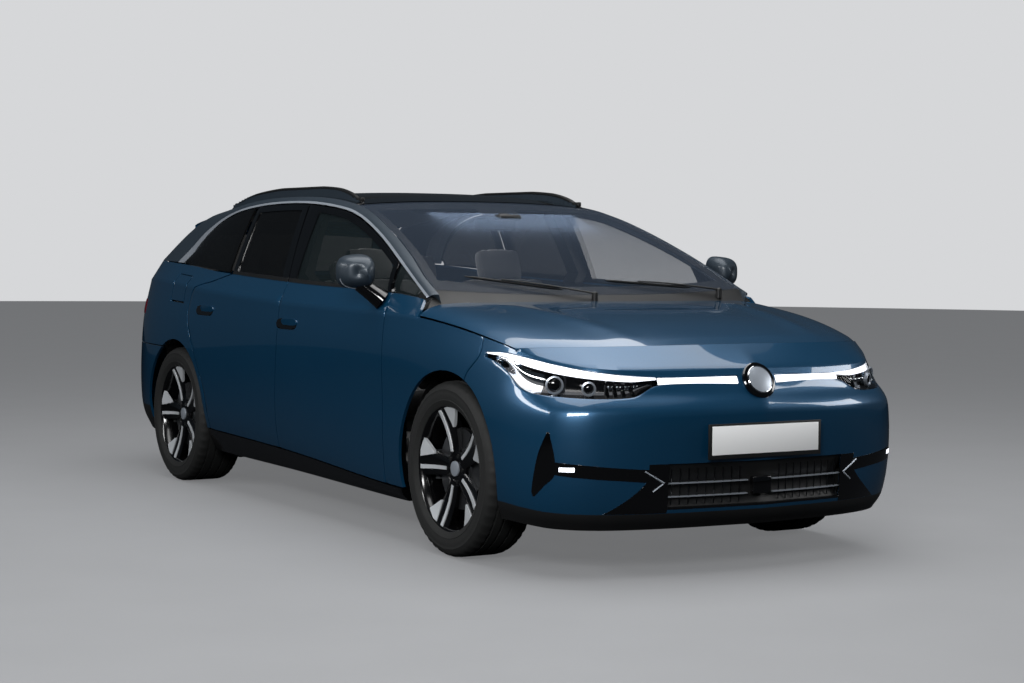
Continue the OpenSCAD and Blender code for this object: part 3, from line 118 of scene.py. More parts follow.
# Stations run from the middle of the nose, along the left side, to the middle of the tail.
STATION = [-3129, -2686, -2412, -2245, -2110, -1950, -1555, -1155, 0, 1000, 1416, 1850, 2100,
    2288, 2502, 2809, 3109]
# Rows of the body's plan at each height: x, y, z.
UNDERSIDE = [
    [0, -2405, 185], [430, -2365, 185], [680, -2290, 185], [800, -2190, 188], [845, -2080, 195],
    [865, -1950, 200], [870, -1555, 190], [868, -1155, 180], [845, 0, 190], [850, 1000, 200],
    [852, 1416, 215], [850, 1850, 230], [800, 2080, 240], [720, 2230, 245], [560, 2340, 250],
    [280, 2400, 250], [0, 2415, 250]]
SILL = [
    [0, -2452, 250], [434, -2408, 250], [690, -2325, 250], [825, -2220, 255], [878, -2098, 265],
    [900, -1950, 275], [908, -1555, 255], [905, -1155, 235], [893, 0, 285], [895, 1000, 310],
    [898, 1416, 320], [895, 1850, 330], [838, 2095, 330], [755, 2255, 330], [590, 2375, 330],
    [300, 2440, 330], [0, 2455, 330]]
SKIRT = [
    [0, -2462, 400], [434, -2420, 400], [700, -2345, 400], [838, -2238, 400], [893, -2108, 405],
    [918, -1950, 410], [930, -1555, 420], [922, -1155, 420], [918, 0, 430], [922, 1000, 440],
    [930, 1416, 450], [912, 1850, 450], [852, 2102, 450], [768, 2270, 450], [602, 2395, 450],
    [300, 2456, 450], [0, 2468, 450]]
WAIST = [
    [0, -2472, 620], [440, -2428, 620], [700, -2342, 620], [832, -2238, 620], [888, -2110, 615],
    [918, -1950, 610], [931, -1555, 605], [924, -1155, 610], [930, 0, 620], [930, 1000, 630],
    [931, 1416, 640], [910, 1850, 640], [852, 2103, 640], [768, 2272, 640], [602, 2400, 640],
    [300, 2460, 640], [0, 2472, 640]]
LAMP_LINE = [
    [0, -2445, 715], [440, -2385, 715], [680, -2300, 715], [800, -2190, 720], [862, -2075, 740],
    [893, -1950, 760], [922, -1555, 790], [926, -1155, 800], [928, 0, 820], [922, 1000, 840],
    [918, 1416, 850], [888, 1850, 860], [838, 2095, 860], [760, 2255, 860], [600, 2380, 860],
    [300, 2445, 860], [0, 2458, 860]]
SHOULDER = [
    [0, -2405, 800], [440, -2352, 795], [655, -2280, 803], [762, -2165, 822], [832, -2045, 852],
    [868, -1930, 882], [898, -1555, 942], [907, -1155, 974], [914, 0, 992], [904, 1000, 1026],
    [884, 1416, 1050], [848, 1850, 1064], [800, 2080, 1062], [725, 2225, 1058], [580, 2335, 1055],
    [290, 2395, 1055], [0, 2408, 1055]]
WINDOW_LINE = [
    [0, -2292, 888], [440, -2252, 884], [655, -2178, 876], [762, -2085, 872], [820, -2012, 868],
    [850, -1930, 890], [868, -1555, 985], [856, -1155, 1050], [857, 0, 1082], [832, 1000, 1118],
    [809, 1416, 1143], [778, 1850, 1160], [742, 2060, 1162], [715, 2110, 1100], [570, 2255, 1095],
    [290, 2328, 1092], [0, 2345, 1092]]
# Trim line and roof or screen edge over the side windows: station, x, y, z, x, y, z.
WINDOW_ARCH = [
    [0, 842, -1250, 1046, 806, -1290, 1062], [1, 820, -1100, 1112, 790, -1130, 1132],
    [2, 798, -925, 1192, 757, -960, 1212], [3, 768, -752, 1264, 728, -790, 1282],
    [4, 746, -615, 1316, 706, -650, 1334], [5, 726, -475, 1362, 684, -500, 1384],
    [6, 712, -350, 1398, 664, -370, 1420], [7, 706, -196, 1430, 648, -200, 1455],
    [8, 702, 93, 1458, 638, 93, 1488], [9, 700, 400, 1468, 634, 400, 1500],
    [10, 700, 750, 1460, 634, 750, 1498], [11, 704, 1054, 1432, 634, 1060, 1480],
    [12, 715, 1271, 1380, 628, 1380, 1444], [13, 742, 1433, 1296, 620, 1690, 1402],
    [14, 770, 1530, 1214, 655, 1900, 1315], [15, 796, 1608, 1158, 740, 2066, 1165]]
# Middle line of the car's top: station, y, z.
BONNET_LINE = [[0, -2292, 888], [0.12, -2200, 920], [0.3, -2033, 958], [0.5, -1850, 986],
    [0.7, -1675, 1005], [1, -1380, 1030]]
SCREEN_LINE = [[0, -1322, 1046], [0.1, -1255, 1082], [0.35, -1000, 1208], [0.6, -730, 1324],
    [0.85, -420, 1428], [1, -236, 1478]]
ROOF_LINE = [[0, -226, 1480], [0.12, 0, 1512], [0.3, 320, 1530], [0.5, 700, 1528],
    [0.7, 1100, 1508], [0.88, 1500, 1470], [1, 1790, 1434]]
GATE_LINE = [[0, 1796, 1433], [1, 1910, 1418], [2, 2030, 1400], [2.2, 2034, 1386], [3, 2016, 1366],
    [4, 2125, 1276], [5, 2235, 1184], [6, 2345, 1092], [7, 2402, 1066], [8, 2452, 960],
    [9, 2458, 860], [10, 2474, 722]]
GATE_EDGE = [[0, 614, 1726, 1396], [1, 612, 1815, 1384], [2, 610, 1910, 1366], [2.2, 610, 1910, 1354],
    [3, 630, 1890, 1334], [4, 668, 1958, 1257], [5, 708, 2028, 1180], [6, 722, 2092, 1100],
    [7, 716, 2192, 1062], [8, 742, 2232, 960], [9, 750, 2252, 860], [10, 758, 2262, 722]]
# Shut lines of the side: height number, station.
FRONT_CUT = [[1, -1010], [2, -1008], [3, -1007], [4, -1003], [5, -995], [5.5, -980], [6, -958]]
MIDDLE_CUT = [[1, 120], [2, 118], [3, 100], [4, 88], [5, 85], [5.5, 98], [6, 115]]
REAR_CUT = [[1, 972], [2, 985], [2.5, 1015], [3, 1080], [3.5, 1165], [4, 1235], [4.5, 1245],
    [5, 1195], [5.5, 1010], [6, 838]]
WING_CUT = [[1, -1706], [3.7, -1706], [4.4, -1790], [5, -1806], [6, -1806]]
# Lower and upper edge of the lamp band on the nose: station, height number.
LAMP_BOTTOM = [[-3129, 4.25], [-2686, 4.3], [-2560, 3.75], [-2245, 3.74], [-2110, 3.79], [-1950, 4.3],
    [-1830, 4.45], [-1700, 4.4]]
LAMP_TOP = [[-3129, 4.68], [-2686, 4.68], [-2560, 4.75], [-2412, 4.85], [-2245, 4.92], [-2110, 4.88],
    [-1950, 4.75], [-1830, 4.6], [-1700, 4.6]]
HEIGHTS = [UNDERSIDE, SILL, SKIRT, WAIST, LAMP_LINE, SHOULDER, WINDOW_LINE]
CUTS = {"front": FRONT_CUT, "middle": MIDDLE_CUT, "rear": REAR_CUT}
HANDLE_Y = {"front": (-126, 100), "rear": (903, 1132)}
HANDLE_Z = {"front": 890, "rear": 920}
GLASS_BULGE = 9
BONNET_RIDGE = 7
NOSE_CREASE = 7
HALF_GAP = 2.2
ARCH_GAP = 44
RINGS = [[[STATION[i]] + row for i, row in enumerate(height)] for height in HEIGHTS]


@functools.lru_cache(maxsize=None)
def ring(j, t):
    """A point of the body's plan at height j and station t."""
    return tuple(follow(RINGS[j], t))


def body_point(t, k):
    """The lower body at station t and height number k: 0 underside, 5 shoulder, 6 window line."""
    i = min(int(k), 5)
    u = k - i
    near = [ring(j, t) for j in range(max(i - 1, 0), min(i + 2, 6) + 1)]
    a = Vector(near[0 if i == 0 else 1])
    b = Vector(near[1 if i == 0 else 2])
    slope_a = b - a if i in (0, 5) else (b - Vector(near[0])) / 2
    slope_b = b - a if i >= 4 else (Vector(near[-1]) - a) / 2
    return ease(a, b, slope_a, slope_b, 1, u)


def trim_point(s):
    """The trim line over the side windows."""
    return Vector(follow(WINDOW_ARCH, s)[:3])


def roof_edge(s):
    """The edge of the roof or the screen inside the trim line."""
    return Vector(follow(WINDOW_ARCH, s)[3:])


def window_point(t, s, v):
    """A side window between station t on the window line and station s on the trim line."""
    return mix(body_point(t, 6), trim_point(s), v) + Vector((4 * v * (1 - v) * GLASS_BULGE, 0, 0))


def crown(mid, edge, u, plan_power, rise_power):
    """A crowned surface from a middle point to an edge point, with u from -1 to 1."""
    a = abs(u)
    return Vector((edge[0] * u, mix(mid[0], edge[1], a ** plan_power), mix(mid[1], edge[2], a ** rise_power)))


def bonnet_point(s, u):
    """The bonnet, from its front edge to its rear edge, with its two raised ridges."""
    a = abs(u)
    edge = follow(RINGS[5], mix(-2030, -1290, s))
    mid = follow(BONNET_LINE, s)
    shoulder = mix(0.3, 0.92, s ** 0.5)
    ridge = BONNET_RIDGE * math.exp(-((a - mix(0.52, 0.66, s)) / 0.07) ** 2) * min(1, 4 * s, 6 * (1 - s))
    return Vector((edge[0] * u, mix(mid[0], edge[1], a ** mix(3.2, 2.2, s)),
                   mix(mid[1], edge[2], (1 - shoulder) * a ** 2.4 + shoulder * a ** 20) + ridge))


def screen_point(s, u):
    """The windscreen, from its foot to the roof."""
    return crown(follow(SCREEN_LINE, s), follow(WINDOW_ARCH, mix(0.05, 6.95, s))[3:], u, 2.2, 2.4)


def roof_point(s, u):
    """The roof, from the windscreen to the tailgate."""
    return crown(follow(ROOF_LINE, s), follow(WINDOW_ARCH, mix(7, 13.05, s))[3:], u, 2.2, 2.6)


def gate_point(s, u):
    """The tailgate, from its hinge line over the spoiler and the glass to its lower edge."""
    power = (2.4, 2.4) if s < 6 else (3.4, 3)
    return crown(follow(GATE_LINE, s), follow(GATE_EDGE, s), u, *power)


@functools.lru_cache(maxsize=None)
def cut_at(name, k):
    """The station of a shut line at height number k."""
    return follow(CUTS[name], k)[0]


@functools.lru_cache(maxsize=None)
def shut(name, k):
    """Half of the shut gap beside a slanting shut line, along the station."""
    a, b = max(k - 0.2, 1), min(k + 0.2, 6)
    ta, tb = cut_at(name, a), cut_at(name, b)
    slant = (tb - ta) / (body_point(tb, b).z - body_point(ta, a).z)
    return HALF_GAP * math.sqrt(1 + slant ** 2)


# ------------------------------------------------------------------ materials


def linear(code):
    """A linear colour from an sRGB hex code."""
    parts = [int(code[i:i + 2], 16) / 255 for i in (1, 3, 5)]
    return tuple(c / 12.92 if c <= 0.04045 else ((c + 0.055) / 1.055) ** 2.4 for c in parts) + (1.0,)


def node(tree, kind, settings=(), **links):
    """Adds one shader node; links name its inputs, as values or as sockets of other nodes."""
    n = tree.nodes.new(kind)
    for key, value in dict(settings).items():
        setattr(n, key, value)
    for key, value in links.items():
        by_place = key[0] == "i" and key[1:].isdigit()
        socket = n.inputs[int(key[1:]) if by_place else key.replace("_", " ")]
        if isinstance(value, bpy.types.NodeSocket):
            tree.links.new(value, socket)
        else:
            socket.default_value = value
    return n


def finish(name, colour, **sockets):
    """A new material with one surface shader; returns the material, its tree and the shader."""
    m = bpy.data.materials.new(name)
    m.use_nodes = True
    tree = m.node_tree
    shader = tree.nodes["Principled BSDF"]
    shader.inputs["Base Color"].default_value = linear(colour)
    for key, value in sockets.items():
        shader.inputs[key.replace("_", " ")].default_value = value
    m.diffuse_color = linear(colour)
    return m, tree, shader


def grain(tree, shader, size_mm, strength, detail=2.0, distance=0.0004):
    """A fine bump with one bump every size_mm."""
    place = node(tree, "ShaderNodeTexCoord")
    pattern = node(tree, "ShaderNodeTexNoise", Vector=place.outputs["Object"], Scale=1000 / size_mm,
                   Detail=detail)
    bump = node(tree, "ShaderNodeBump", Strength=strength, Distance=distance, Height=pattern.outputs[0])
    tree.links.new(bump.outputs[0], shader.inputs["Normal"])
    return pattern


def uneven(tree, shader, socket, low, high, size_mm):
    """Lets a value such as roughness wander between low and high."""
    place = node(tree, "ShaderNodeTexCoord")
    pattern = node(tree, "ShaderNodeTexNoise", Vector=place.outputs["Object"], Scale=1000 / size_mm,
                   Detail=3.0)
    spread = node(tree, "ShaderNodeMapRange", Value=pattern.outputs[0], To_Min=low, To_Max=high)
    tree.links.new(spread.outputs[0], shader.inputs[socket])


MATERIALS = {}


def metallic_lacquer():
    """Blue metallic base coat under clear lacquer: small flakes glint and the gloss is wet and sharp."""
    m, tree, shader = finish("metallic_lacquer", "#0c4263", Metallic=0.5, Roughness=0.36, Coat_Weight=1.0,
                             Coat_Roughness=0.03)
    place = node(tree, "ShaderNodeTexCoord")
    flake = node(tree, "ShaderNodeTexVoronoi", Vector=place.outputs["Object"], Scale=900.0)
    spread = node(tree, "ShaderNodeMapRange", Value=flake.outputs["Color"], To_Min=0.86, To_Max=1.16)
    tint = node(tree, "ShaderNodeMix", {"data_type": "RGBA", "blend_type": "MULTIPLY"}, i0=1.0,
                i6=linear("#0c4263"), i7=spread.outputs[0])
    tree.links.new(tint.outputs[2], shader.inputs["Base Color"])
    uneven(tree, shader, "Roughness", 0.3, 0.38, 400)
    return m


def slate_lacquer():
    """Dark slate metallic lacquer of the mirror caps and the band under the roof."""
    m, tree, shader = finish("slate_lacquer", "#2b3640", Metallic=0.35, Roughness=0.45, Coat_Weight=0.25,
            Coat_Roughness=0.2)
    uneven(tree, shader, "Roughness", 0.42, 0.5, 300)
    return m


def satin_aluminium():
    """Brushed and anodised trim: pale, with a soft broad highlight."""
    m, tree, shader = finish("satin_aluminium", "#b4bcc6", Metallic=0.6, Roughness=0.3)
    uneven(tree, shader, "Roughness", 0.26, 0.36, 60)
    return m


def gloss_abs():
    """Piano-black ABS: deep black with mirror gloss."""
    m, tree, shader = finish("gloss_abs", "#050506", Roughness=0.08, Coat_Weight=0.6, Coat_Roughness=0.03)
    uneven(tree, shader, "Roughness", 0.06, 0.12, 300)
    return m


def grained_polypropylene():
    """Unpainted bumper plastic: dark grey, dull, with a pebbled grain."""
    m, tree, shader = finish("grained_polypropylene", "#0c0d0e", Roughness=0.55)
    grain(tree, shader, 2.2, 0.35)
    uneven(tree, shader, "Roughness", 0.48, 0.62, 150)
    return m


def satin_black():
    """Painted black metal and rubber seals with little shine."""
    m, tree, shader = finish("satin_black", "#08090a", Roughness=0.42)
    uneven(tree, shader, "Roughness", 0.36, 0.5, 90)
    return m


def tyre_rubber():
    """Cured black rubber, dull with a faint bloom."""
    m, tree, shader = finish("tyre_rubber", "#191a1a", Roughness=0.72, Specular_IOR_Level=0.4)
    grain(tree, shader, 3.0, 0.25)
    uneven(tree, shader, "Roughness", 0.62, 0.8, 70)
    return m


def diamond_cut_alloy():
    """Wheel faces turned bright and lacquered: pale silver with a soft shine."""
    m, tree, shader = finish("diamond_cut_alloy", "#d3d7db", Metallic=0.35, Roughness=0.32, Coat_Weight=0.5,
                             Coat_Roughness=0.08)
    uneven(tree, shader, "Roughness", 0.28, 0.38, 8)
    return m


def wheel_black():
    """Gloss black wheel lacquer."""
    m, tree, shader = finish("wheel_black", "#050506", Roughness=0.28, Coat_Weight=0.3, Coat_Roughness=0.1)
    uneven(tree, shader, "Roughness", 0.12, 0.22, 80)
    return m


def turned_iron():
    """A brake disc's swept face: grey iron with circular scoring."""
    m, tree, shader = finish("turned_iron", "#6d6f72", Metallic=1.0, Roughness=0.38)
    grain(tree, shader, 1.5, 0.2)
    return m


def cast_alloy():
    """Sand-cast suspension alloy: light grey and slightly rough."""
    m, tree, shader = finish("cast_alloy", "#54575a", Metallic=0.8, Roughness=0.5)
    grain(tree, shader, 4.0, 0.4)
    return m


def dipped_steel():
    """Dipped and waxed underbody steel: near black with a waxy sheen."""
    m, tree, shader = finish("dipped_steel", "#1d1f21", Metallic=0.2, Roughness=0.5)
    grain(tree, shader, 12.0, 0.3, distance=0.001)
    return m


def glazing(name, colour, weight, rough=0.0):
    """Toughened glass with a tint that lets part of the light through."""
    m, tree, shader = finish(name, colour, Roughness=rough, IOR=1.45)
    grazing = node(tree, "ShaderNodeLayerWeight", Blend=0.5)
    sheen = node(tree, "ShaderNodeMath", {"operation": "POWER"}, i0=grazing.outputs["Facing"], i1=5.0)
    cover = node(tree, "ShaderNodeMapRange", Value=sheen.outputs[0], To_Min=weight, To_Max=1.0)
    tree.links.new(cover.outputs[0], shader.inputs["Alpha"])
    m.surface_render_method = "BLENDED"
    return m


def lamp_lens():
    """Clear polycarbonate over a lamp."""
    return glazing("lamp_polycarbonate", "#101214", 0.06)


def lit_diffuser(name, colour, strength):
    """A light guide that glows evenly."""
    m, _, shader = finish(name, colour, Roughness=0.3, Emission_Strength=strength)
    shader.inputs["Emission Color"].default_value = linear(colour)
    return m


def silvered():
    """Vacuum-silvered reflector or mirror."""
    m, tree, shader = finish("silvered", "#d9dcdf", Metallic=1.0, Roughness=0.06)
    uneven(tree, shader, "Roughness", 0.04, 0.1, 30)
    return m


def ruby_lens():
    """Dark red acrylic lamp lens with a deep gloss."""
    m, tree, shader = finish("ruby_lens", "#5a070b", Roughness=0.08, Coat_Weight=0.8)
    uneven(tree, shader, "Roughness", 0.06, 0.14, 50)
    return m


def plate_acrylic():
    """Blank reflective number plate: white with a fine beaded glint."""
    m, tree, shader = finish("plate_acrylic", "#f6f7f7", Roughness=0.25, Coat_Weight=0.5)
    grain(tree, shader, 0.8, 0.12)
    return m


def black_leather():
    """Dyed leather: dark with pebble grain and soft sheen."""
    m, tree, shader = finish("black_leather", "#1b1c1e", Roughness=0.5, Sheen_Weight=0.15)
    place = node(tree, "ShaderNodeTexCoord")
    pebble = node(tree, "ShaderNodeTexVoronoi", {"feature": "DISTANCE_TO_EDGE"},
                  Vector=place.outputs["Object"], Scale=420.0)
    bump = node(tree, "ShaderNodeBump", Strength=0.35, Distance=0.0006, Height=pebble.outputs[0])
    tree.links.new(bump.outputs[0], shader.inputs["Normal"])
    uneven(tree, shader, "Roughness", 0.42, 0.58, 120)
    return m


def pale_cloth():
    """Light woven seat cloth and headlining."""
    m, tree, shader = finish("pale_cloth", "#8c8f92", Roughness=0.9, Sheen_Weight=0.3)
    grain(tree, shader, 1.6, 0.5)
    return m


def soft_trim():
    """Slush-moulded dashboard skin: black, dull, finely grained."""
    m, tree, shader = finish("soft_trim", "#141618", Roughness=0.6)
    grain(tree, shader, 1.8, 0.3)
    return m


def tufted_carpet():
    """Cut-pile floor carpet."""
    m, tree, shader = finish("tufted_carpet", "#131415", Roughness=0.95, Sheen_Weight=0.4)
    grain(tree, shader, 2.5, 0.8, distance=0.002)
    return m


def screen_panel():
    """A switched-off display behind glass."""
    m, tree, shader = finish("screen_panel", "#050607", Roughness=0.1, Coat_Weight=1.0)
    uneven(tree, shader, "Roughness", 0.08, 0.14, 200)
    return m


def make_materials():
    """Builds every material once."""
    for build in (metallic_lacquer, slate_lacquer, satin_aluminium, gloss_abs, grained_polypropylene,
                  satin_black, tyre_rubber,
                  diamond_cut_alloy, wheel_black, turned_iron, cast_alloy, dipped_steel, lamp_lens, silvered,
                  ruby_lens, plate_acrylic, black_leather, pale_cloth, soft_trim, tufted_carpet,
                  screen_panel):
        MATERIALS[build.__name__] = build()
    MATERIALS["clear_glass"] = glazing("laminated_clear_glass", "#39424f", 0.17)
    MATERIALS["tinted_glass"] = glazing("front_door_glass", "#20282a", 0.3)
    MATERIALS["privacy_glass"] = glazing("privacy_glass", "#0b0b0b", 0.82)
    MATERIALS["roof_glass"] = glazing("roof_glass", "#15130f", 0.94)
    MATERIALS["white_light"] = lit_diffuser("white_light_guide", "#f4f7ff", 1.6)
    MATERIALS["red_light"] = lit_diffuser("red_light_guide", "#b0121a", 0.5)


# ------------------------------------------------------------------ shared ways of making a piece


def piece(name, bm, material, body, smooth=True, slot=None):
    """Turns a bmesh into a finished piece that rides on a body."""
    mesh = bpy.data.meshes.new(name)
    bm.to_mesh(mesh)
    bm.free()
    obj = bpy.data.objects.new(name, mesh)
    bpy.context.scene.collection.objects.link(obj)
    names = material if isinstance(material, (list, tuple)) else [material]
    for m in names:
        mesh.materials.append(MATERIALS[m])
    if smooth:
        mesh.shade_smooth()
        mesh.set_sharp_from_angle(angle=math.radians(32))
    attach(obj, body)
    return obj


def scaled(bm, factor=MM):
    """Brings a bmesh from millimetres to metres."""
    bmesh.ops.scale(bm, vec=(factor,) * 3, verts=bm.verts)
    return bm


def sheet(rows, cols, place, keep=None):
    """A grid of rows and columns laid on a surface; keep(r, c) says which cells stay."""
    bm = bmesh.new()
    row = bm.verts.layers.float.new("row")
    col = bm.verts.layers.float.new("col")
    bmesh.ops.create_grid(bm, x_segments=len(cols) - 1, y_segments=len(rows) - 1, size=0.5)
    for v in bm.verts:
        v[row] = rows[round((v.co.y + 0.5) * (len(rows) - 1))]
        v[col] = cols[round((v.co.x + 0.5) * (len(cols) - 1))]
    if keep:
        dead = [f for f in bm.faces if not keep(sum(v[row] for v in f.verts) / 4,
                sum(v[col] for v in f.verts) / 4)]
        bmesh.ops.delete(bm, geom=dead, context="FACES")
    for v in bm.verts:
        v.co = place(v[row], v[col])
    return bm


def shell(rows, cols, outer, inner, keep=None, round_off=2.2, by=None):
    """A closed panel between an outer and an inner surface, with its outer rim rounded."""
    bm = sheet(rows, cols, outer, keep)
    row, col = bm.verts.layers.float["row"], bm.verts.layers.float["col"]
    if by:
        for f in bm.faces:
            n = len(f.verts)
            f.material_index = by(sum(v[row] for v in f.verts) / n, sum(v[col] for v in f.verts) / n)
    skin = bm.faces[:]
    rim = [e for e in bm.edges if len(e.link_faces) == 1]
    copy = bmesh.ops.duplicate(bm, geom=skin)
    twin = {}
    for a, b in copy["vert_map"].items():
        twin[a] = b
    back = [f for f in copy["geom"] if isinstance(f, bmesh.types.BMFace)]
    for v in {v for f in back for v in f.verts}:
        v.co = inner(v[row], v[col])
    bmesh.ops.reverse_faces(bm, faces=back)
    for e in rim:
        loop = e.link_loops[0]
        a, b = loop.vert, loop.link_loop_next.vert
        slot = loop.face.material_index
        bm.faces.new((b, a, twin[a], twin[b])).material_index = slot
    if round_off:
        bmesh.ops.bevel(bm, geom=rim, offset=round_off, segments=2, profile=0.5, affect="EDGES", material=-1,
                        clamp_overlap=True)
    bmesh.ops.recalc_face_normals(bm, faces=bm.faces[:])
    return bm


def mirrored(bm, side):
    """The right-hand copy of a left-hand shape, where side is -1."""
    if side < 0:
        bmesh.ops.scale(bm, vec=(-1, 1, 1), verts=bm.verts)
        bmesh.ops.reverse_faces(bm, faces=bm.faces[:])
    return bm


def settled(obj):
    """Applies an object's modifiers to its mesh."""
    view = bpy.context.evaluated_depsgraph_get()
    view.update()
    mesh = bpy.data.meshes.new_from_object(obj.evaluated_get(view))
    old = obj.data
    obj.modifiers.clear()
    obj.data = mesh
    bpy.data.meshes.remove(old)
    return obj


def cut_away(obj, cutters):
    """Cuts closed shapes out of a piece and removes them."""
    for cutter in cutters:
        m = obj.modifiers.new("cut", "BOOLEAN")
        m.object = cutter
        m.solver = "EXACT"
    settled(obj)
    obj.data.shade_smooth()
    obj.data.set_sharp_from_angle(angle=math.radians(32))
    for cutter in cutters:
        mesh = cutter.data
        bpy.data.objects.remove(cutter)
        bpy.data.meshes.remove(mesh)
    return obj


def cutter(bm):
    """A closed shape used only to cut others."""
    mesh = bpy.data.meshes.new("cutter")
    bm.to_mesh(mesh)
    bm.free()
    obj = bpy.data.objects.new("cutter", mesh)
    bpy.context.scene.collection.objects.link(obj)
    return obj


def wheel_arch_cutter(end, side, extra=0.0):
    """A drum across the wheel that opens its arch."""
    radius, _, _, y = TYRE[end]
    bm = bmesh.new()
    bmesh.ops.create_cone(bm, cap_ends=True, segments=128, radius1=radius + ARCH_GAP + extra,
                          radius2=radius + ARCH_GAP + extra,
                          depth=900, matrix=Matrix.Translation((side * 750, y,
                                  radius)) @ Matrix.Rotation(math.pi / 2, 4, "Y"))
    return cutter(scaled(bm))


def box_mesh(x0, x1, y0, y1, z0, z1, round_off=0.0, segments=2):
    """A block between two corners, with rounded edges."""
    bm = bmesh.new()
    bmesh.ops.create_cube(bm, size=1.0)
    bmesh.ops.scale(bm, vec=(x1 - x0, y1 - y0, z1 - z0), verts=bm.verts)
    bmesh.ops.translate(bm, vec=((x0 + x1) / 2, (y0 + y1) / 2, (z0 + z1) / 2), verts=bm.verts)
    if round_off:
        bmesh.ops.bevel(bm, geom=bm.edges[:], offset=round_off, segments=segments, profile=0.5,
                        affect="EDGES", material=-1)
    return bm


def join(*parts):
    """One bmesh from several."""
    whole = parts[0]
    for part in parts[1:]:
        mesh = bpy.data.meshes.new("part")
        part.to_mesh(mesh)
        part.free()
        whole.from_mesh(mesh)
        bpy.data.meshes.remove(mesh)
    return whole


def tube(points, radius, sides=10, flat=1.0):
    """A round bar along a path, closed at both ends; flat squashes its section."""
    bm = bmesh.new()
    rings = []
    up = Vector((0, 0, 1))
    for i, p in enumerate(points):
        way = (points[min(i + 1, len(points) - 1)] - points[max(i - 1, 0)]).normalized()
        a = way.cross(up)
        a = a.normalized() if a.length > 0.01 else Vector((1, 0, 0))
        b = a.cross(way).normalized()
        r = radius(i / (len(points) - 1)) if callable(radius) else radius
        rings.append([bm.verts.new(p + a * r * math.cos(q) + b * r * flat * math.sin(q))
                      for q in (2 * math.pi * n / sides for n in range(sides))])
    for r0, r1 in zip(rings, rings[1:]):
        for n in range(sides):
            bm.faces.new((r0[n], r0[(n + 1) % sides], r1[(n + 1) % sides], r1[n]))
    bm.faces.new(rings[0][::-1])
    bm.faces.new(rings[-1])
    bmesh.ops.recalc_face_normals(bm, faces=bm.faces[:])
    return bm


def lathe(profile, steps_round=96, closed=True):
    """A profile of (radius, x) points spun about the X axis."""
    bm = bmesh.new()
    verts = [bm.verts.new((x, 0, r)) for r, x in profile]
    edges = [bm.edges.new(p) for p in zip(verts, verts[1:])]
    if closed:
        edges.append(bm.edges.new((verts[-1], verts[0])))
    bmesh.ops.spin(bm, geom=verts + edges, cent=(0, 0, 0), axis=(1, 0, 0), angle=2 * math.pi,
                   steps=steps_round,
                   use_merge=True)
    bmesh.ops.remove_doubles(bm, verts=bm.verts, dist=0.001)
    bmesh.ops.recalc_face_normals(bm, faces=bm.faces[:])
    return bm


# ------------------------------------------------------------------ panels

SIDES = ((1, "left"), (-1, "right"))
DOORS = {
    "front": ("front", "middle", 2.03, 8.34, 40 / 1068, 1 - 78 / 1068),
    "rear": ("middle", "rear", 8.38, 10.18, 78 / 717, 1 - 52 / 717),
}
DOOR_DEPTH = 80
FRAME_DEPTH = 34
DOOR_BEVEL = 26
HEADER = 32
PANEL_DEPTH = 14


def door_surface(which):
    """Outer and inner surface of a door; rows 1 to 6 are body heights and 6 to 7 run up the window."""
    front, rear, s0, s1 = DOORS[which][:4]

    def outer(r, u, inward=0.0, bevel=0.0):
        if r <= 6:
            a = cut_at(front, r) + shut(front, r) + bevel
            b = cut_at(rear, r) - shut(rear, r) - bevel
            p = body_point(mix(a, b, u), r if not bevel else max(r, 1.2))
            return p - Vector((inward, 0, 0))
        trim = 9 if bevel else 0
        t = mix(cut_at(front, 6) + HALF_GAP + trim, cut_at(rear, 6) - shut(rear, 6) - trim, u)
        s = mix(s0, s1, u)
        rise = (trim_point(s) - body_point(t, 6)).length
        top = 1 - (7.5 + trim) / rise
        hole = 1 - (7.5 + HEADER) / rise
        q = r - 6
        v = hole * q / 0.9 if q <= 0.9 else mix(hole, top, (q - 0.9) / 0.1)
        return window_point(t, s, v) - Vector((inward, 0, 0))

    def inner(r, u):
        q = max(r - 6, 0)
        return outer(r, u, mix(DOOR_DEPTH, FRAME_DEPTH, min(q / 0.05, 1)), DOOR_BEVEL)

    return outer, inner


def make_doors():
    """Four doors with window frames, handles set in recesses, glass and inner trim."""
    for which in DOORS:
        outer, inner = door_surface(which)
        u1, u2 = DOORS[which][4:]
        columns = 46 if which == "front" else 32
        cols = steps(0, u1, 2)[:-1] + steps(u1, u2, columns) + steps(u2, 1, 3)[1:]
        rows = steps(1.05, 6, 44) + [6.02, 6.05] + steps(6.12, 6.84, 8) + [6.9, 6.95, 7.0]
        for side, name in SIDES:
            body = f"{which}_door_{name}"
            bm = shell(rows, cols, outer, inner, lambda r, c: r < 6.05 or r > 6.9 or c < u1 or c > u2, 2.4,
                       by=lambda r, c: 1 if r > 6.0 else 0)
            door = piece(f"{body}_skin", mirrored(scaled(bm), side), ["metallic_lacquer", "gloss_abs"], body)
            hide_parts(body)
            make_handle(which, side, name, body)
            glass = shell(steps(6.03, 6.915, 12), steps(u1 - 0.006, u2 + 0.006, 22),
                          lambda r, c: outer(r, c, 5), lambda r, c: outer(r, c, 9), None, 0.8)
            look = "tinted_glass" if which == "front" else "privacy_glass"
            pane = piece(f"{body}_pane", mirrored(scaled(glass), side), look, body)
            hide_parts(f"{which}_door_glass_{name}")
            seal = shell([6.0, 6.012, 6.03, 6.05], steps(0.004, 0.996, 30),
                         *between(outer, 1.6, -5), None, 0.5)
            strip = piece(f"{body}_waist_seal", mirrored(scaled(seal), side), "satin_black", body)
            make_door_card(which, side, name, body, inner, u1, u2)


def side_spot(y, z):
    """The body's outer surface at a place along the car and a height."""
    k = 5.0
    for _ in range(30):
        p = body_point(y, k)
        k -= (p.z - z) / 180 * 0.6
        k = min(max(k, 1), 6)
    return body_point(y, k)


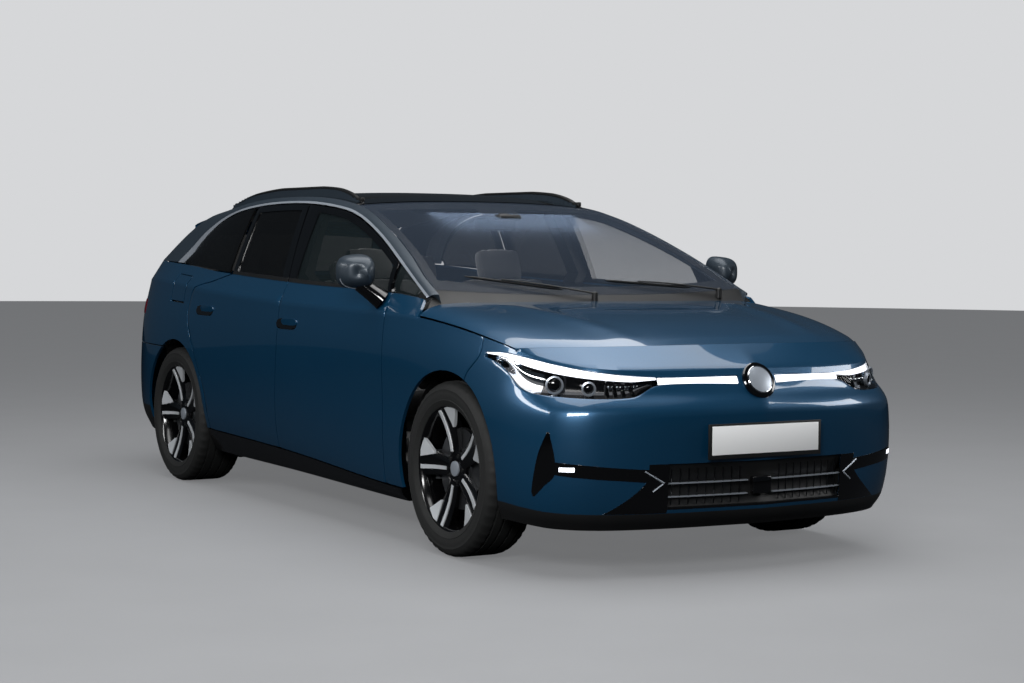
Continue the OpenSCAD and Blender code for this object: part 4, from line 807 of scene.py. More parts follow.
def make_handle(which, side, name, body):
    """A flush pull handle over the upper part of a black pocket."""
    y0, y1 = HANDLE_Y[which]
    z = HANDLE_Z[which]

    def pocket(r, c, d):
        """A plate with round ends that follows the door."""
        y = mix(y0, y1, 0.5 + 0.5 * c)
        tall = 25 * (1 - abs(c) ** 6) ** 0.5
        return side_spot(y, z + tall * r) + Vector((d, 0, 0))

    ends = [-1 + 2e-3, -0.96, -0.9] + steps(-0.8, 0.8, 20) + [0.9, 0.96, 1 - 2e-3]
    bm = shell(steps(-1, 1, 6), ends, lambda r, c: pocket(r, c, 0.8), lambda r, c: pocket(r, c, -4), None,
               0.6)
    seat = piece(f"{body}_handle_pocket", mirrored(scaled(bm), side), "gloss_abs", body)

    def flap(r, c, d):
        y = mix(y0 - 8, y0 + 166, 0.5 + 0.5 * c)
        tall = 15 * (1 - abs(c) ** 7) ** 0.5
        return side_spot(y, z + 11 + tall * r) + Vector((d, 0, 0))

    bm = shell(steps(-1, 1, 6), ends, lambda r, c: flap(r, c, 6.5 - 2.0 * abs(c) ** 3 + 1.5 * r),
               lambda r, c: flap(r, c, 0.2), None, 2.0)
    handle = piece(f"{body}_handle", mirrored(scaled(bm), side), "metallic_lacquer", body)


def make_door_card(which, side, name, body, inner, u1, u2):
    """Inner trim of a door: a padded panel with an armrest, and a pull."""
    def card(r, c, d):
        return inner(r, mix(0.03, 0.97, c)) - Vector((d, 0, 0))

    def relief(r, c):
        arm = math.exp(-((r - 4.25) / 0.42) ** 2) * min(1, 8 * c, 8 * (1 - c))
        return 3 + 24 * arm

    bm = shell(steps(1.5, 5.9, 26), steps(0, 1, 24), lambda r, c: card(r, c, relief(r, c)),
               lambda r, c: card(r, c, 0.5), None, 1.5)
    trim = piece(f"{body}_card", mirrored(scaled(bm), side), "soft_trim", body)
    pull = tube([inner(4.9, u) - Vector((12 + 18 * math.sin(math.pi * (u - 0.3) / 0.35), 0, 0))
                 for u in steps(0.3, 0.65, 14)], 8)
    grab = piece(f"{body}_pull", mirrored(scaled(pull), side), "satin_aluminium", body)


def raised(surface, r, c, d, e=0.004):
    """A point a distance d outside a surface, along its normal."""
    p = surface(r, c)
    a = surface(r + e, c) - surface(r - e, c)
    b = surface(r, c + e) - surface(r, c - e)
    n = b.cross(a)
    return p + n.normalized() * d if n.length > 1e-9 else p


def wing_surface(r, u):
    a = follow(WING_CUT, r)[0] + HALF_GAP
    b = cut_at("front", r) - shut("front", r)
    return body_point(mix(a, b, u), r)


def quarter_surface(r, c):
    """Rear quarter: columns 0 to 1 reach the charging flap, 1 to 2 cross it and 2 to 3 reach the tail."""
    a = cut_at("rear", r) + 1.6 * shut("rear", r)
    b = follow(QUARTER_END, r)[0]
    t = mix(a, 1330, c) if c <= 1 else mix(1330, 1545, c - 1) if c <= 2 else mix(1545, b, c - 2)
    return body_point(t, r)


QUARTER_END = [[1, 2270], [5, 2262], [5.5, 2190], [6, 2100]]


def make_side_panels():
    """Front wings, rear quarters with the charging flap, sills and the arch over the windows."""
    for side, name in SIDES:
        bm = shell(steps(1.06, 5, 44) + steps(5, 6, 14)[1:], steps(0, 0.65, 28) + steps(0.65, 1, 14)[1:],
                   wing_surface,
                   lambda r, c: raised(wing_surface, r, c, -PANEL_DEPTH), lambda r, c: r < 5 or c > 0.65, 2.2)
        wing = piece(f"front_wing_{name}_skin", mirrored(scaled(bm), side), "metallic_lacquer", "body")
        cut_away(wing, [wheel_arch_cutter("front", side)])
        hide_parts(f"front_wing_{name}")
        flap = side < 0
        rows = steps(1.05, 4.5, 36) + steps(4.5, 5.5, 12)[1:] + steps(5.5, 6, 6)[1:]
        cols = steps(0, 1, 16) + steps(1, 2, 8)[1:] + steps(2, 3, 26)[1:]
        bm = shell(rows, cols, quarter_surface, lambda r, c: raised(quarter_surface, min(r, 5.97),
                min(max(c, 0.02), 2.98), -PANEL_DEPTH),
                   lambda r, c: (r > 3.35 or c < 1) and not (flap and 4.5 < r < 5.5 and 1 < c < 2), 2.2)
        quarter = piece(f"rear_quarter_{name}_skin", mirrored(scaled(bm), side), "metallic_lacquer", "body")
        cut_away(quarter, [wheel_arch_cutter("rear", side)])
        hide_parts(f"rear_quarter_{name}")
        if flap:
            make_charge_flap(side)
        bm = shell(steps(0, 1, 12), steps(-1150, 1012, 60), lambda r, c: body_point(c, r),
                   lambda r, c: Vector((700, body_point(c, 0).y, mix(body_point(c, 0).z, FLOOR_Z, r))), None,
                   2.0)
        sill = piece(f"side_sill_{name}", mirrored(scaled(bm), side), "gloss_abs", "body")
        if side > 0:
            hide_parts("side_sills")
        for end, y in (("front", -1000), ("rear", 880)):
            pad = box_mesh(730, 790, y - 30, y + 30, 172, 214, 2.0)
            jack = piece(f"jack_pad_{end}_{name}", mirrored(scaled(pad), side), "grained_polypropylene",
                         "body")
        make_arch(side, name)
        make_fixed_glass(side, name)
        make_lamp_rear(side, name)


def arch_surface(w, s):
    """The band between the side windows and the roof: row 0 is the trim line and 2 the roof edge."""
    a, c = trim_point(s), roof_edge(s)
    b = mix(a, c, 0.5) + Vector((4, 0, 4))
    return a * (w - 1) * (w - 2) / 2 - b * w * (w - 2) + c * w * (w - 1) / 2


def arch_inner(w, s):
    if s > 14:
        low, high = Vector((-12, -44, -24)), Vector((-14, -30, 4))
        share = s - 14
    else:
        low, high = Vector((-12, 0, -42)), Vector((-12, -44, -24))
        share = min(max((s - 13.1) / 0.9, 0), 1)
    edge = mix(low, high, share)
    ends = (Vector((-52, 0, 2)), Vector((-34, 0, -22)), edge)
    shift = mix(ends[0], ends[1], w) if w < 1 else mix(ends[1], ends[2], w - 1)
    return arch_surface(w, s) + shift


def make_arch(side, name):
    """Body side over the windows: a bright strip beside the glass and a lacquered band to the roof."""
    bm = shell([0, 0.1, 0.25, 0.42, 0.46] + steps(0.6, 2, 8), steps(0, 15, 150), arch_surface, arch_inner,
               None, 1.6,
               by=lambda r, c: 1 if r > 0.44 else 0)
    arch = piece(f"body_side_{name}_band", mirrored(scaled(bm), side), ["satin_aluminium", "slate_lacquer"],
                 "body")
    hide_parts(f"body_side_{name}")


def make_fixed_glass(side, name):
    """Small fixed windows at the front and the rear of the side, each in a black border."""
    rear_s, rear_t = [10.3, 11, 12, 13, 14, 14.6], [872, 1040, 1200, 1350, 1500, 1570]
    front_s, front_t = [0.4, 1, 1.94], [-1190, -1100, -966]
    for end, ss, ts, look in (("rear", rear_s, rear_t, "privacy_glass"),
            ("front", front_s, front_t, "tinted_glass")):
        table = [[i, ss[i], ts[i]] for i in range(len(ss))]
        last = len(ss) - 1

        def at(r, c, d=0.0):
            s, t = follow(table, c)
            return window_point(t, s, r) - Vector((d, 0, 0))

        rows, cols = steps(0.02, 0.975, 14), steps(0.012 * last, 0.985 * last, 26)
        pane = shell(rows, cols, lambda r, c: at(r, c, 3), lambda r, c: at(r, c, 8), None, 0.8)
        glass = piece(f"fixed_glass_{end}_{name}", mirrored(scaled(pane), side), look, "body")
        if side > 0 and end == "rear":
            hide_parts("fixed_side_glass")
        edge = 0.09 if end == "rear" else 0.16
        border = shell(rows, cols, lambda r, c: at(r, c, 8.4), lambda r, c: at(r, c, 11),
                       lambda r, c: r < edge or r > 1 - edge or c < edge * last or c > last * (1 - edge), 0.5)
        frit = piece(f"fixed_glass_border_{end}_{name}", mirrored(scaled(border), side), "satin_black",
                     "body")


def make_charge_flap(side):
    """The charging flap, its pocket and its blank inlet."""
    def lid(r, c):
        return quarter_surface(mix(4.545, 5.455, r), 1 + mix(0.028, 0.972, c))

    bm = shell(steps(0, 1, 12), steps(0, 1, 12), lid, lambda r, c: raised(lid, mix(0.02, 0.98, r),
            mix(0.02, 0.98, c), -9), None, 2.0)
    flap = piece("charge_flap_skin", mirrored(scaled(bm), side), "metallic_lacquer", "charge_flap")
    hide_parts("charge_flap")

    def pocket(r, c):
        return quarter_surface(mix(4.46, 5.54, r), 1 + mix(-0.04, 1.04, c))

    plate = shell(steps(0, 1, 4), steps(0, 1, 4), lambda r, c: pocket(r, c) - Vector((20, 0, 0)),
                  lambda r, c: pocket(r, c) - Vector((25, 0, 0)), None, 0.8)
    back = piece("charge_pocket_plate", mirrored(scaled(plate), side), "grained_polypropylene", "body")
    middle = pocket(0.5, 0.5)
    socket = lathe([(0, -24), (26, -24), (26, -9), (22, -7), (20, -9), (20, -15), (0, -15)], 48, closed=False)
    bmesh.ops.translate(socket, vec=Vector((middle.x - 12, middle.y, middle.z - 4)), verts=socket.verts)
    inlet = piece("charge_inlet", mirrored(scaled(socket), side), "satin_black", "body")


# ------------------------------------------------------------------ nose and tail

NOSE_MIDDLE = -3129
NOSE_SIDE = -1706
LAMP_SIDE = 1 - (1830 - 1706) / (3129 - 1706)
LAMP_INNER = (3129 - 2686) / (3129 - 1706)
BAR_INNER = (3129 - 3040) / (3129 - 1706)
BONNET_CORNER = (3129 - 2030) / (3129 - 1706)


def nose_surface(r, c):
    """Front bumper: rows 0 to 3 are body heights, 4 to 5 is the lamp band and 6 to 7 meets the bonnet."""
    a = abs(c)
    t = mix(NOSE_MIDDLE, NOSE_SIDE, a)
    for _ in range(1 if a < LAMP_SIDE else 2):
        low, high = follow(LAMP_BOTTOM, t)[0], follow(LAMP_TOP, t)[0]
        k = r if r <= 3 else mix(3, low, r - 3) if r <= 4 else mix(low, high, r - 4) if r <= 5 else mix(high,
                5, min(r - 5, 1))
        if a >= LAMP_SIDE:
            t = mix(-1830, follow(WING_CUT, min(max(k, 1), 6))[0] - HALF_GAP,
                    (a - LAMP_SIDE) / (1 - LAMP_SIDE))
    p = body_point(t, k)
    if r <= 4:
        p -= Vector((0, NOSE_CREASE * math.exp(-abs(k - 3.15) / 0.3) * min(1, 2.4 * (0.72 - a)) * (a < 0.72),
                     0))
    if r > 6:
        u = min(body_point(t, 5).x / 856, 1)
        p = mix(p, bonnet_point(0, u) - Vector((0, 2 * HALF_GAP * (1 + 1.5 * u ** 4), 0)), min(r - 6, 1))
    return Vector((p.x if c >= 0 else -p.x, p.y, p.z))


def make_nose():
    """Front bumper with its lamp band, light bar, grille, corner slots and lip."""
    def solid(r, c):
        a = abs(c)
        lamp = 4 < r < 5 and BAR_INNER < a < LAMP_SIDE
        grille = 1.15 < r < 2.2 and a < LAMP_INNER
        return not lamp and not grille and (r < 6 or a < BONNET_CORNER)

    half = (steps(0, BAR_INNER, 4) + steps(BAR_INNER, LAMP_INNER, 14)[1:]
            + steps(LAMP_INNER, BONNET_CORNER, 34)[1:]
            + steps(BONNET_CORNER, LAMP_SIDE, 10)[1:] + steps(LAMP_SIDE, 1, 8)[1:])
    cols = [-c for c in half[:0:-1]] + half
    rows = (steps(0, 1.15, 8) + steps(1.15, 2.2, 10)[1:] + steps(2.2, 3, 8)[1:] + steps(3, 4, 10)[1:]
            + steps(4, 5, 6)[1:]
            + steps(5, 6, 6)[1:] + steps(6, 7, 5)[1:])

    def inner(r, c):
        if r >= 5.6:
            return nose_surface(r, c) - Vector((0, 0, PANEL_DEPTH))
        return raised(nose_surface, r, max(min(c, 0.995), -0.995), -PANEL_DEPTH)

    bm = shell(rows, cols, nose_surface, inner, solid, 2.0, by=lambda r, c: 1 if r < 1.02 else 0)
    bumper = piece("front_bumper_skin", scaled(bm), ["metallic_lacquer", "grained_polypropylene"], "body")
    cut_away(bumper, [wheel_arch_cutter("front", 1), wheel_arch_cutter("front", -1)])
    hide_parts("front_bumper")
    make_headlamps()
    make_grille()
    for side, name in SIDES:
        make_corner_slot(side, name)


def make_headlamps():
    """Headlamps with a clear cover, a dark tray, two projectors, a light strip, and the light bar."""
    for side, name in SIDES:
        cols = steps(LAMP_INNER + 0.002, LAMP_SIDE - 0.002, 46)
        rows = steps(4.02, 4.98, 10)
        tray = shell(rows, cols, lambda r, c: raised(nose_surface, r, c,
                -9 - 30 * math.sin(math.pi * (r - 4))),
                     lambda r, c: raised(nose_surface, r, c, -12 - 32 * math.sin(math.pi * (r - 4))), None, 0,
                     by=lambda r, c: 1 if c > 0.67 and r < 4.7 else 0)
        back = piece(f"headlamp_{name}_tray", mirrored(scaled(tray), side), ["gloss_abs", "silvered"], "body")
        if side > 0:
            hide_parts("headlamps")
        lens = shell(rows, cols, *between(nose_surface, -0.5, -3.0),
                     None, 0.8)
        cover = piece(f"headlamp_{name}_cover", mirrored(scaled(lens), side), "lamp_lens", "body")
        strip = shell([4.74, 4.8, 4.9, 4.985], steps(LAMP_INNER + 0.004, LAMP_SIDE - 0.004, 60),
                      *between(nose_surface, -4.0, -10), None, 0.8)
        light = piece(f"headlamp_{name}_strip", mirrored(scaled(strip), side), "white_light", "body")
        for i, (c, radius) in enumerate(((0.625, 29), (0.525, 22))):
            at = raised(nose_surface, 4.42, c, -18)
            ring = lathe([(radius, 0), (radius + 6, -2), (radius + 6, 10), (radius, 12), (radius - 3, 6)], 56)
            lamp_part(ring, at, side, f"headlamp_{name}_ring_{i + 1}", "satin_aluminium")
            ball = bmesh.new()
            bmesh.ops.create_uvsphere(ball, u_segments=40, v_segments=20, radius=radius - 2)
            bmesh.ops.scale(ball, vec=(0.55, 1, 1), verts=ball.verts)
            lamp_part(ball, at, side, f"headlamp_{name}_projector_{i + 1}", "gloss_abs")
        fins = []
        for n in range(4):
            c = 0.385 + n * 0.026
            p = raised(nose_surface, 4.5, c, -16)
            fins.append(box_mesh(p.x - 9, p.x + 9, p.y - 12, p.y + 12, p.z - 7, p.z + 7, 2.5))
        louvre = piece(f"headlamp_{name}_blocks", mirrored(scaled(join(*fins)), side), "silvered", "body")
        bar = shell([4.0, 4.08, 4.2], steps(BAR_INNER, LAMP_INNER, 16),
                    lambda r, c: raised(nose_surface, mix(4.02, 4.98, (r - 4) * 5), c, -7),
                    lambda r, c: raised(nose_surface, mix(4.02, 4.98, (r - 4) * 5), c, -12), None, 0)
        seat = piece(f"light_bar_seat_{name}", mirrored(scaled(bar), side), "gloss_abs", "body")
        if side > 0:
            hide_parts("light_bar")
        guide = shell([4.1, 4.3, 4.7, 4.9], steps(BAR_INNER + 0.004, LAMP_INNER, 26),
                      *between(nose_surface, -0.5, -7), None, 1.0)
        lit = piece(f"light_bar_{name}", mirrored(scaled(guide), side), "white_light", "body")
    p = nose_surface(4.42, 0)
    face = (raised(nose_surface, 4.42, 0, 1) - p).to_track_quat("X", "Z").to_matrix()
    for label, profile, look in (
            ("surround", [(0, 6), (60, 6), (71, 4), (75, 0), (75, -12), (0, -12)], "gloss_abs"),
            ("disc", [(0, 9), (50, 9), (53, 8), (53, 4), (0, 4)], "satin_aluminium"),
            ("rim", [(53.5, 9), (56, 10), (58, 8), (58, 4), (53.5, 4)], "silvered")):
        bm = lathe(profile, 96, closed=label == "rim")
        bmesh.ops.rotate(bm, cent=(0, 0, 0), matrix=face, verts=bm.verts)
        bmesh.ops.translate(bm, vec=p, verts=bm.verts)
        part = piece(f"nose_blank_{label}", scaled(bm), look, "body")


def lamp_part(bm, at, side, name, material):
    """Turns a lamp part made along X to face forwards and a little outwards, and puts it in the lamp."""
    bmesh.ops.rotate(bm, cent=(0, 0, 0), matrix=Matrix.Rotation(-math.radians(62), 3, "Z"), verts=bm.verts)
    bmesh.ops.translate(bm, vec=at, verts=bm.verts)
    part = piece(name, mirrored(scaled(bm), side), material, "body")
    return part


def make_grille():
    """Lower opening: a dark tray, bright slats and ribs, a lower edge and a square sensor block."""
    edge = LAMP_INNER - 0.002
    tray = shell(steps(1.16, 2.19, 8), steps(-edge, edge, 40),
                 lambda r, c: raised(nose_surface, r, c, -9 - 26 * math.sin(math.pi * (r - 1.15) / 1.05)),
                 lambda r, c: raised(nose_surface, r, c, -13 - 26 * math.sin(math.pi * (r - 1.15) / 1.05)),
                 None, 0)
    back = piece("grille_tray", scaled(tray), "grained_polypropylene", "body")
    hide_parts("lower_grille")
    for side, name in SIDES:
        for n, r0 in enumerate((1.47, 1.79)):
            slat = shell([r0, r0 + 0.012, r0 + 0.025], steps(0.045, edge, 30),
                         *between(nose_surface, -6, -22), None, 1.0)
            bar = piece(f"grille_slat_{n + 1}_{name}", mirrored(scaled(slat), side), "satin_aluminium",
                        "body")
        ribs = []
        for n in range(9):
            c = mix(0.07, edge - 0.02, n / 8)
            a, b = raised(nose_surface, 1.25, c, -14), raised(nose_surface, 2.1, c, -14)
            ribs.append(tube([a, mix(a, b, 0.5), b], 2.4, 8))
        rib = piece(f"grille_ribs_{name}", mirrored(scaled(join(*ribs)), side), "gloss_abs", "body")
    frame = shell([1.13, 1.16, 1.2], steps(-edge - 0.004, edge + 0.004, 40),
                  *between(nose_surface, 1.0, -30), None, 0.6)
    rim = piece("grille_lower_edge", scaled(frame), "gloss_abs", "body")
    p = nose_surface(1.68, 0)
    block = piece("grille_sensor", scaled(box_mesh(-44, 44, p.y - 1, p.y + 26, p.z - 34, p.z + 34, 5, 3)),
                  "gloss_abs", "body")


SLOT_OUTER = [[1.45, 0.676], [1.6, 0.679], [2.35, 0.661], [2.72, 0.636]]
SLOT_INNER = [[1.45, 0.669], [1.75, 0.64], [1.98, 0.613], [2.27, 0.611], [2.72, 0.63]]
BAND_OUTER = [[1.02, 0.485], [1.8, 0.372], [2.1, 0.36]]
STRIP_TOP = [[0.34, 2.1], [0.448, 2.15], [0.532, 2.2], [0.62, 2.25]]
STRIP_BOTTOM = [[0.34, 1.83], [0.445, 1.9], [0.532, 1.95], [0.62, 2.02]]
CORNER_LINE = [[0, 0.372, 2.08], [1, 0.316, 1.83], [2, 0.352, 1.62]]


def make_corner_slot(side, name):
    """Corner of the nose: a black air slot, a gloss strip and band round a lacquered blade, a bright line."""
    def area(rows, cols, at, label):
        bm = shell(rows, cols, lambda r, c: raised(nose_surface, *at(r, c), 1.0),
                   lambda r, c: raised(nose_surface, *at(r, c), -4), None, 0.6)
        part = piece(f"{label}_{name}", mirrored(scaled(bm), side), "gloss_abs", "body")

    area(steps(1.45, 2.72, 24), steps(0, 1, 8),
         lambda r, c: (r, mix(follow(SLOT_INNER, r)[0], follow(SLOT_OUTER, r)[0], c)), "corner_slot")
    area(steps(1.02, 2.2, 22), steps(0, 1, 12),
         lambda r, c: (r, mix(LAMP_INNER - 0.008, follow(BAND_OUTER, r)[0], c)), "grille_side")
    area(steps(0, 1, 6), steps(0.34, 0.62, 30),
         lambda r, c: (mix(follow(STRIP_BOTTOM, c)[0], follow(STRIP_TOP, c)[0], r), c), "corner_strip")
    path = []
    for a, b in zip(CORNER_LINE, CORNER_LINE[1:]):
        path += [raised(nose_surface, mix(a[2], b[2], u), mix(a[1], b[1], u), 2.5)
                 for u in steps(0, 1, 10)[:-1]]
    line = piece(f"corner_line_{name}", mirrored(scaled(tube(path, 3.0, 8)), side), "satin_aluminium", "body")
    fog = shell([2.08, 2.12, 2.16], steps(0.56, 0.6, 5), *between(nose_surface, 2.4, -1), None, 0.8)
    lamp = piece(f"corner_light_{name}", mirrored(scaled(fog), side), "white_light", "body")


def tail_surface(r, c):
    """Rear bumper: rows are body heights and columns run from the left wheel arch to the right one."""
    p = body_point(mix(3109, 1500, abs(c)), r)
    return Vector((p.x if c >= 0 else -p.x, p.y, p.z))


def make_tail():
    """Rear bumper with a black lower part and reflectors."""
    cols = steps(1, -1, 110)
    bm = shell(steps(0, 1.4, 12) + steps(1.4, 3.32, 20)[1:], cols, tail_surface,
               lambda r, c: raised_down(tail_surface, r, c, -PANEL_DEPTH), None, 2.2,
               by=lambda r, c: 1 if r < 1.4 else 0)
    bumper = piece("rear_bumper_skin", scaled(bm), ["metallic_lacquer", "grained_polypropylene"], "body")
    cut_away(bumper, [wheel_arch_cutter("rear", 1), wheel_arch_cutter("rear", -1)])
    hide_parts("rear_bumper")
    for side, name in SIDES:
        strip = shell([1.5, 1.54, 1.6, 1.64], steps(0.46, 0.3, 16),
                      lambda r, c: raised_down(tail_surface, r, c, 1.5),
                      lambda r, c: raised_down(tail_surface, r, c, -4), None, 0.8)
        red = piece(f"rear_reflector_{name}", mirrored(scaled(strip), side), "ruby_lens", "body")


def between(surface, over, under):
    """The outer and inner face of a sheet, at two heights over a surface."""
    return (lambda r, c: raised(surface, r, c, over)), (lambda r, c: raised(surface, r, c, under))


def raised_down(surface, r, c, d):
    """As raised, for a surface whose columns run the other way."""
    return raised(surface, r, max(min(c, 0.996), -0.996), -d)


def make_lamp_rear(side, name):
    """Rear corner lamp that carries the tailgate's light line round to the side."""
    def at(r, c, d):
        return raised(quarter_surface, mix(4.05, 4.45, r), mix(2.72, 2.965, c), d)

    bm = shell(steps(0, 1, 8), steps(0, 1, 16), lambda r, c: at(r, c, 4.5 - 3 * abs(2 * r - 1) ** 4),
               lambda r, c: at(r, c, -3), None, 1.0)
    lamp = piece(f"corner_lamp_{name}", mirrored(scaled(bm), side), "ruby_lens", "body")
    if side > 0:
        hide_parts("corner_lamps")


# ------------------------------------------------------------------ roof, screen, bonnet and tailgate


def make_top():
    """Roof with its glass, windscreen with its border, rails, bonnet, wipers."""
    edge = 0.999
    across = steps(-1, 1, 48)
    roof_rows = steps(0, 6 / 6.05, 48)
    hole_r, hole_c = (0.5 / 6.05, 4.5 / 6.05), 0.82
    bm = shell(sorted(set(roof_rows + list(hole_r))), sorted(set(across + [-hole_c, hole_c])),
               lambda r, c: roof_point(r, c * edge),
               lambda r, c: roof_point(r, c * 0.97) - Vector((0, 0, 34)),
               lambda r, c: not (hole_r[0] < r < hole_r[1] and abs(c) < hole_c), 1.6)
    roof = piece("roof_panel_skin", scaled(bm), "gloss_abs", "body")
    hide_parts("roof_panel")
    bm = shell(steps(hole_r[0] + 0.002, hole_r[1] - 0.002, 36), steps(-hole_c + 0.004, hole_c - 0.004, 36),
               lambda r, c: roof_point(r, c * edge) - Vector((0, 0, 0.6)),
               lambda r, c: roof_point(r, c * edge) - Vector((0, 0, 5.6)), None, 1.0)
    glass = piece("roof_glass_pane", scaled(bm), "roof_glass", "body")
    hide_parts("roof_glass")
    rows = steps(0.036, 0.993, 44)
    bm = shell(rows, across, lambda r, c: screen_point(r, c * edge),
               lambda r, c: screen_point(r, c * 0.99) - Vector((0, 0, 5)), None, 1.0)
    screen = piece("windscreen_pane", scaled(bm), "clear_glass", "body")
    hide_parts("windscreen")

    def clear(r, c):
        top = 0.9 if abs(c) > 0.16 else 0.8
        return not (0.13 < r < top and abs(c) < 0.945)

    border = shell(sorted(set(rows + [0.13, 0.8, 0.9])), sorted(set(across + [-0.945, -0.16, 0.16, 0.945])),
                   lambda r, c: screen_point(r, c * 0.985) - Vector((0, 0, 6)),
                   lambda r, c: screen_point(r, c * 0.985) - Vector((0, 0, 8)), clear, 0)
    frit = piece("windscreen_border", scaled(border), "satin_black", "body")
    make_rails()
    make_wipers()

    def cowl(r, c):
        low, high = (bonnet_point(1, c * 0.96) + Vector((0, 6, -14)),
                     screen_point(0.04, c * 0.99) + Vector((0, -2, -4)))
        return mix(low, high, r)

    bm = shell(steps(0, 1, 8), steps(-1, 1, 60), cowl, lambda r, c: cowl(r, c) - Vector((0, 0, 5)), None, 0.8)
    cover = piece("cowl_cover", scaled(bm), "grained_polypropylene", "body")
    wide = 1 - 6 / 870
    bm = shell(steps(0, 1, 60), [-1, -0.985] + steps(-0.96, 0.96, 76) + [0.985, 1],
               lambda r, c: bonnet_point(r, c * wide),
               lambda r, c: bonnet_point(mix(0.016, 0.984, r), c * wide * 0.982) - Vector((0, 0, 22)), None,
               2.4)
    bonnet = piece("bonnet_skin", scaled(bm), "metallic_lacquer", "bonnet")
    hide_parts("bonnet")


RAIL_HEIGHT = [[7, 6], [7.5, 36], [8, 48], [11, 46], [11.5, 38], [12, 22], [12.25, 6]]


def make_rails():
    """Raised roof rails: a slim bar on two feet, over a painted moulding."""
    for side, name in SIDES:
        def centre(s):
            base = roof_point((s - 7) / 6.05, 0.94)
            return Vector((base.x, base.y, min(base.z + follow(RAIL_HEIGHT, s)[0] - 11, 1551 - 11)))

        path = [centre(s) for s in steps(7.05, 12.2, 60)]
        bm = tube(path, lambda q: 13 * min(1, 0.35 + 9 * q, 0.35 + 9 * (1 - q)), 14, 0.8)
        feet = []
        for s in (7.35, 11.75):
            p, base = centre(s), roof_point((s - 7) / 6.05, 0.94)
            feet.append(box_mesh(p.x - 9, p.x + 9, p.y - 70, p.y + 70, base.z - 4, p.z, 4))
        fin = []
        for a, b in zip(steps(7.2, 12.0, 40), steps(7.2, 12.0, 40)[1:]):
            p, q = centre(a), centre(b)
            fin.append(box_mesh(p.x - 12, p.x + 12, p.y - 2, q.y + 2, roof_point((a - 7) / 6.05, 0.94).z - 3,
                    p.z + 2))
        base = piece(f"roof_rail_{name}_moulding", mirrored(scaled(join(*fin)), side), "slate_lacquer",
                     "body")
        rail = piece(f"roof_rail_{name}", mirrored(scaled(join(bm, *feet)), side), "satin_black", "body")
        if side > 0:
            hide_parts("roof_rails")


def make_wipers():
    """Two wipers: arm, blade and spindle cap."""
    for n, x in enumerate((-60, 640)):
        foot = screen_point(0.036, x / 806)
        y = mix(bonnet_point(1, x / 870).y, foot.y, 0.5)
        tip = screen_point(0.15, (x - 560) / 800) + Vector((0, -8, 14))
        spindle = Vector((x, y, foot.z + 6))
        arm = tube([mix(spindle, tip, u) + Vector((0, 0, 8 * math.sin(math.pi * u)))
                    for u in steps(0, 0.72, 12)], lambda q: mix(8, 5, q), 8, 0.6)
        blade = tube([mix(spindle, tip, u) + Vector((0, 2, -3)) for u in steps(0.25, 1.0, 20)],
                     lambda q: 5.5 * min(1, 0.4 + 6 * q, 0.4 + 6 * (1 - q)), 8, 1.1)
        cap = lathe([(0, 8), (10, 7), (14, 2), (14, -40), (0, -40)], 24, closed=False)
        bmesh.ops.rotate(cap, cent=(0, 0, 0), matrix=Matrix.Rotation(-math.pi / 2, 3, "Y"), verts=cap.verts)
        bmesh.ops.translate(cap, vec=spindle, verts=cap.verts)
        wiper = piece(f"wiper_{n + 1}", scaled(join(arm, blade, cap)), "satin_black", "body")
        if not n:
            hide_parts("wipers")


def gate_inner(s, u):
    p = gate_point(min(max(s, 0.25), 9.85), u * 0.975)
    table = [[0, 0, 32], [1.6, 0, 32], [2.2, 40, 52], [2.6, 42, 46], [3.2, 46, 23], [6.4, 46, 23],
             [7.2, 46, 0], [10, 46, 0]]
    i = max(n for n in range(len(table) - 1) if table[n][0] <= max(s, 0))
    share = (min(s, 10) - table[i][0]) / (table[i + 1][0] - table[i][0])
    return p - Vector((0, mix(table[i][1], table[i + 1][1], share), mix(table[i][2], table[i + 1][2], share)))


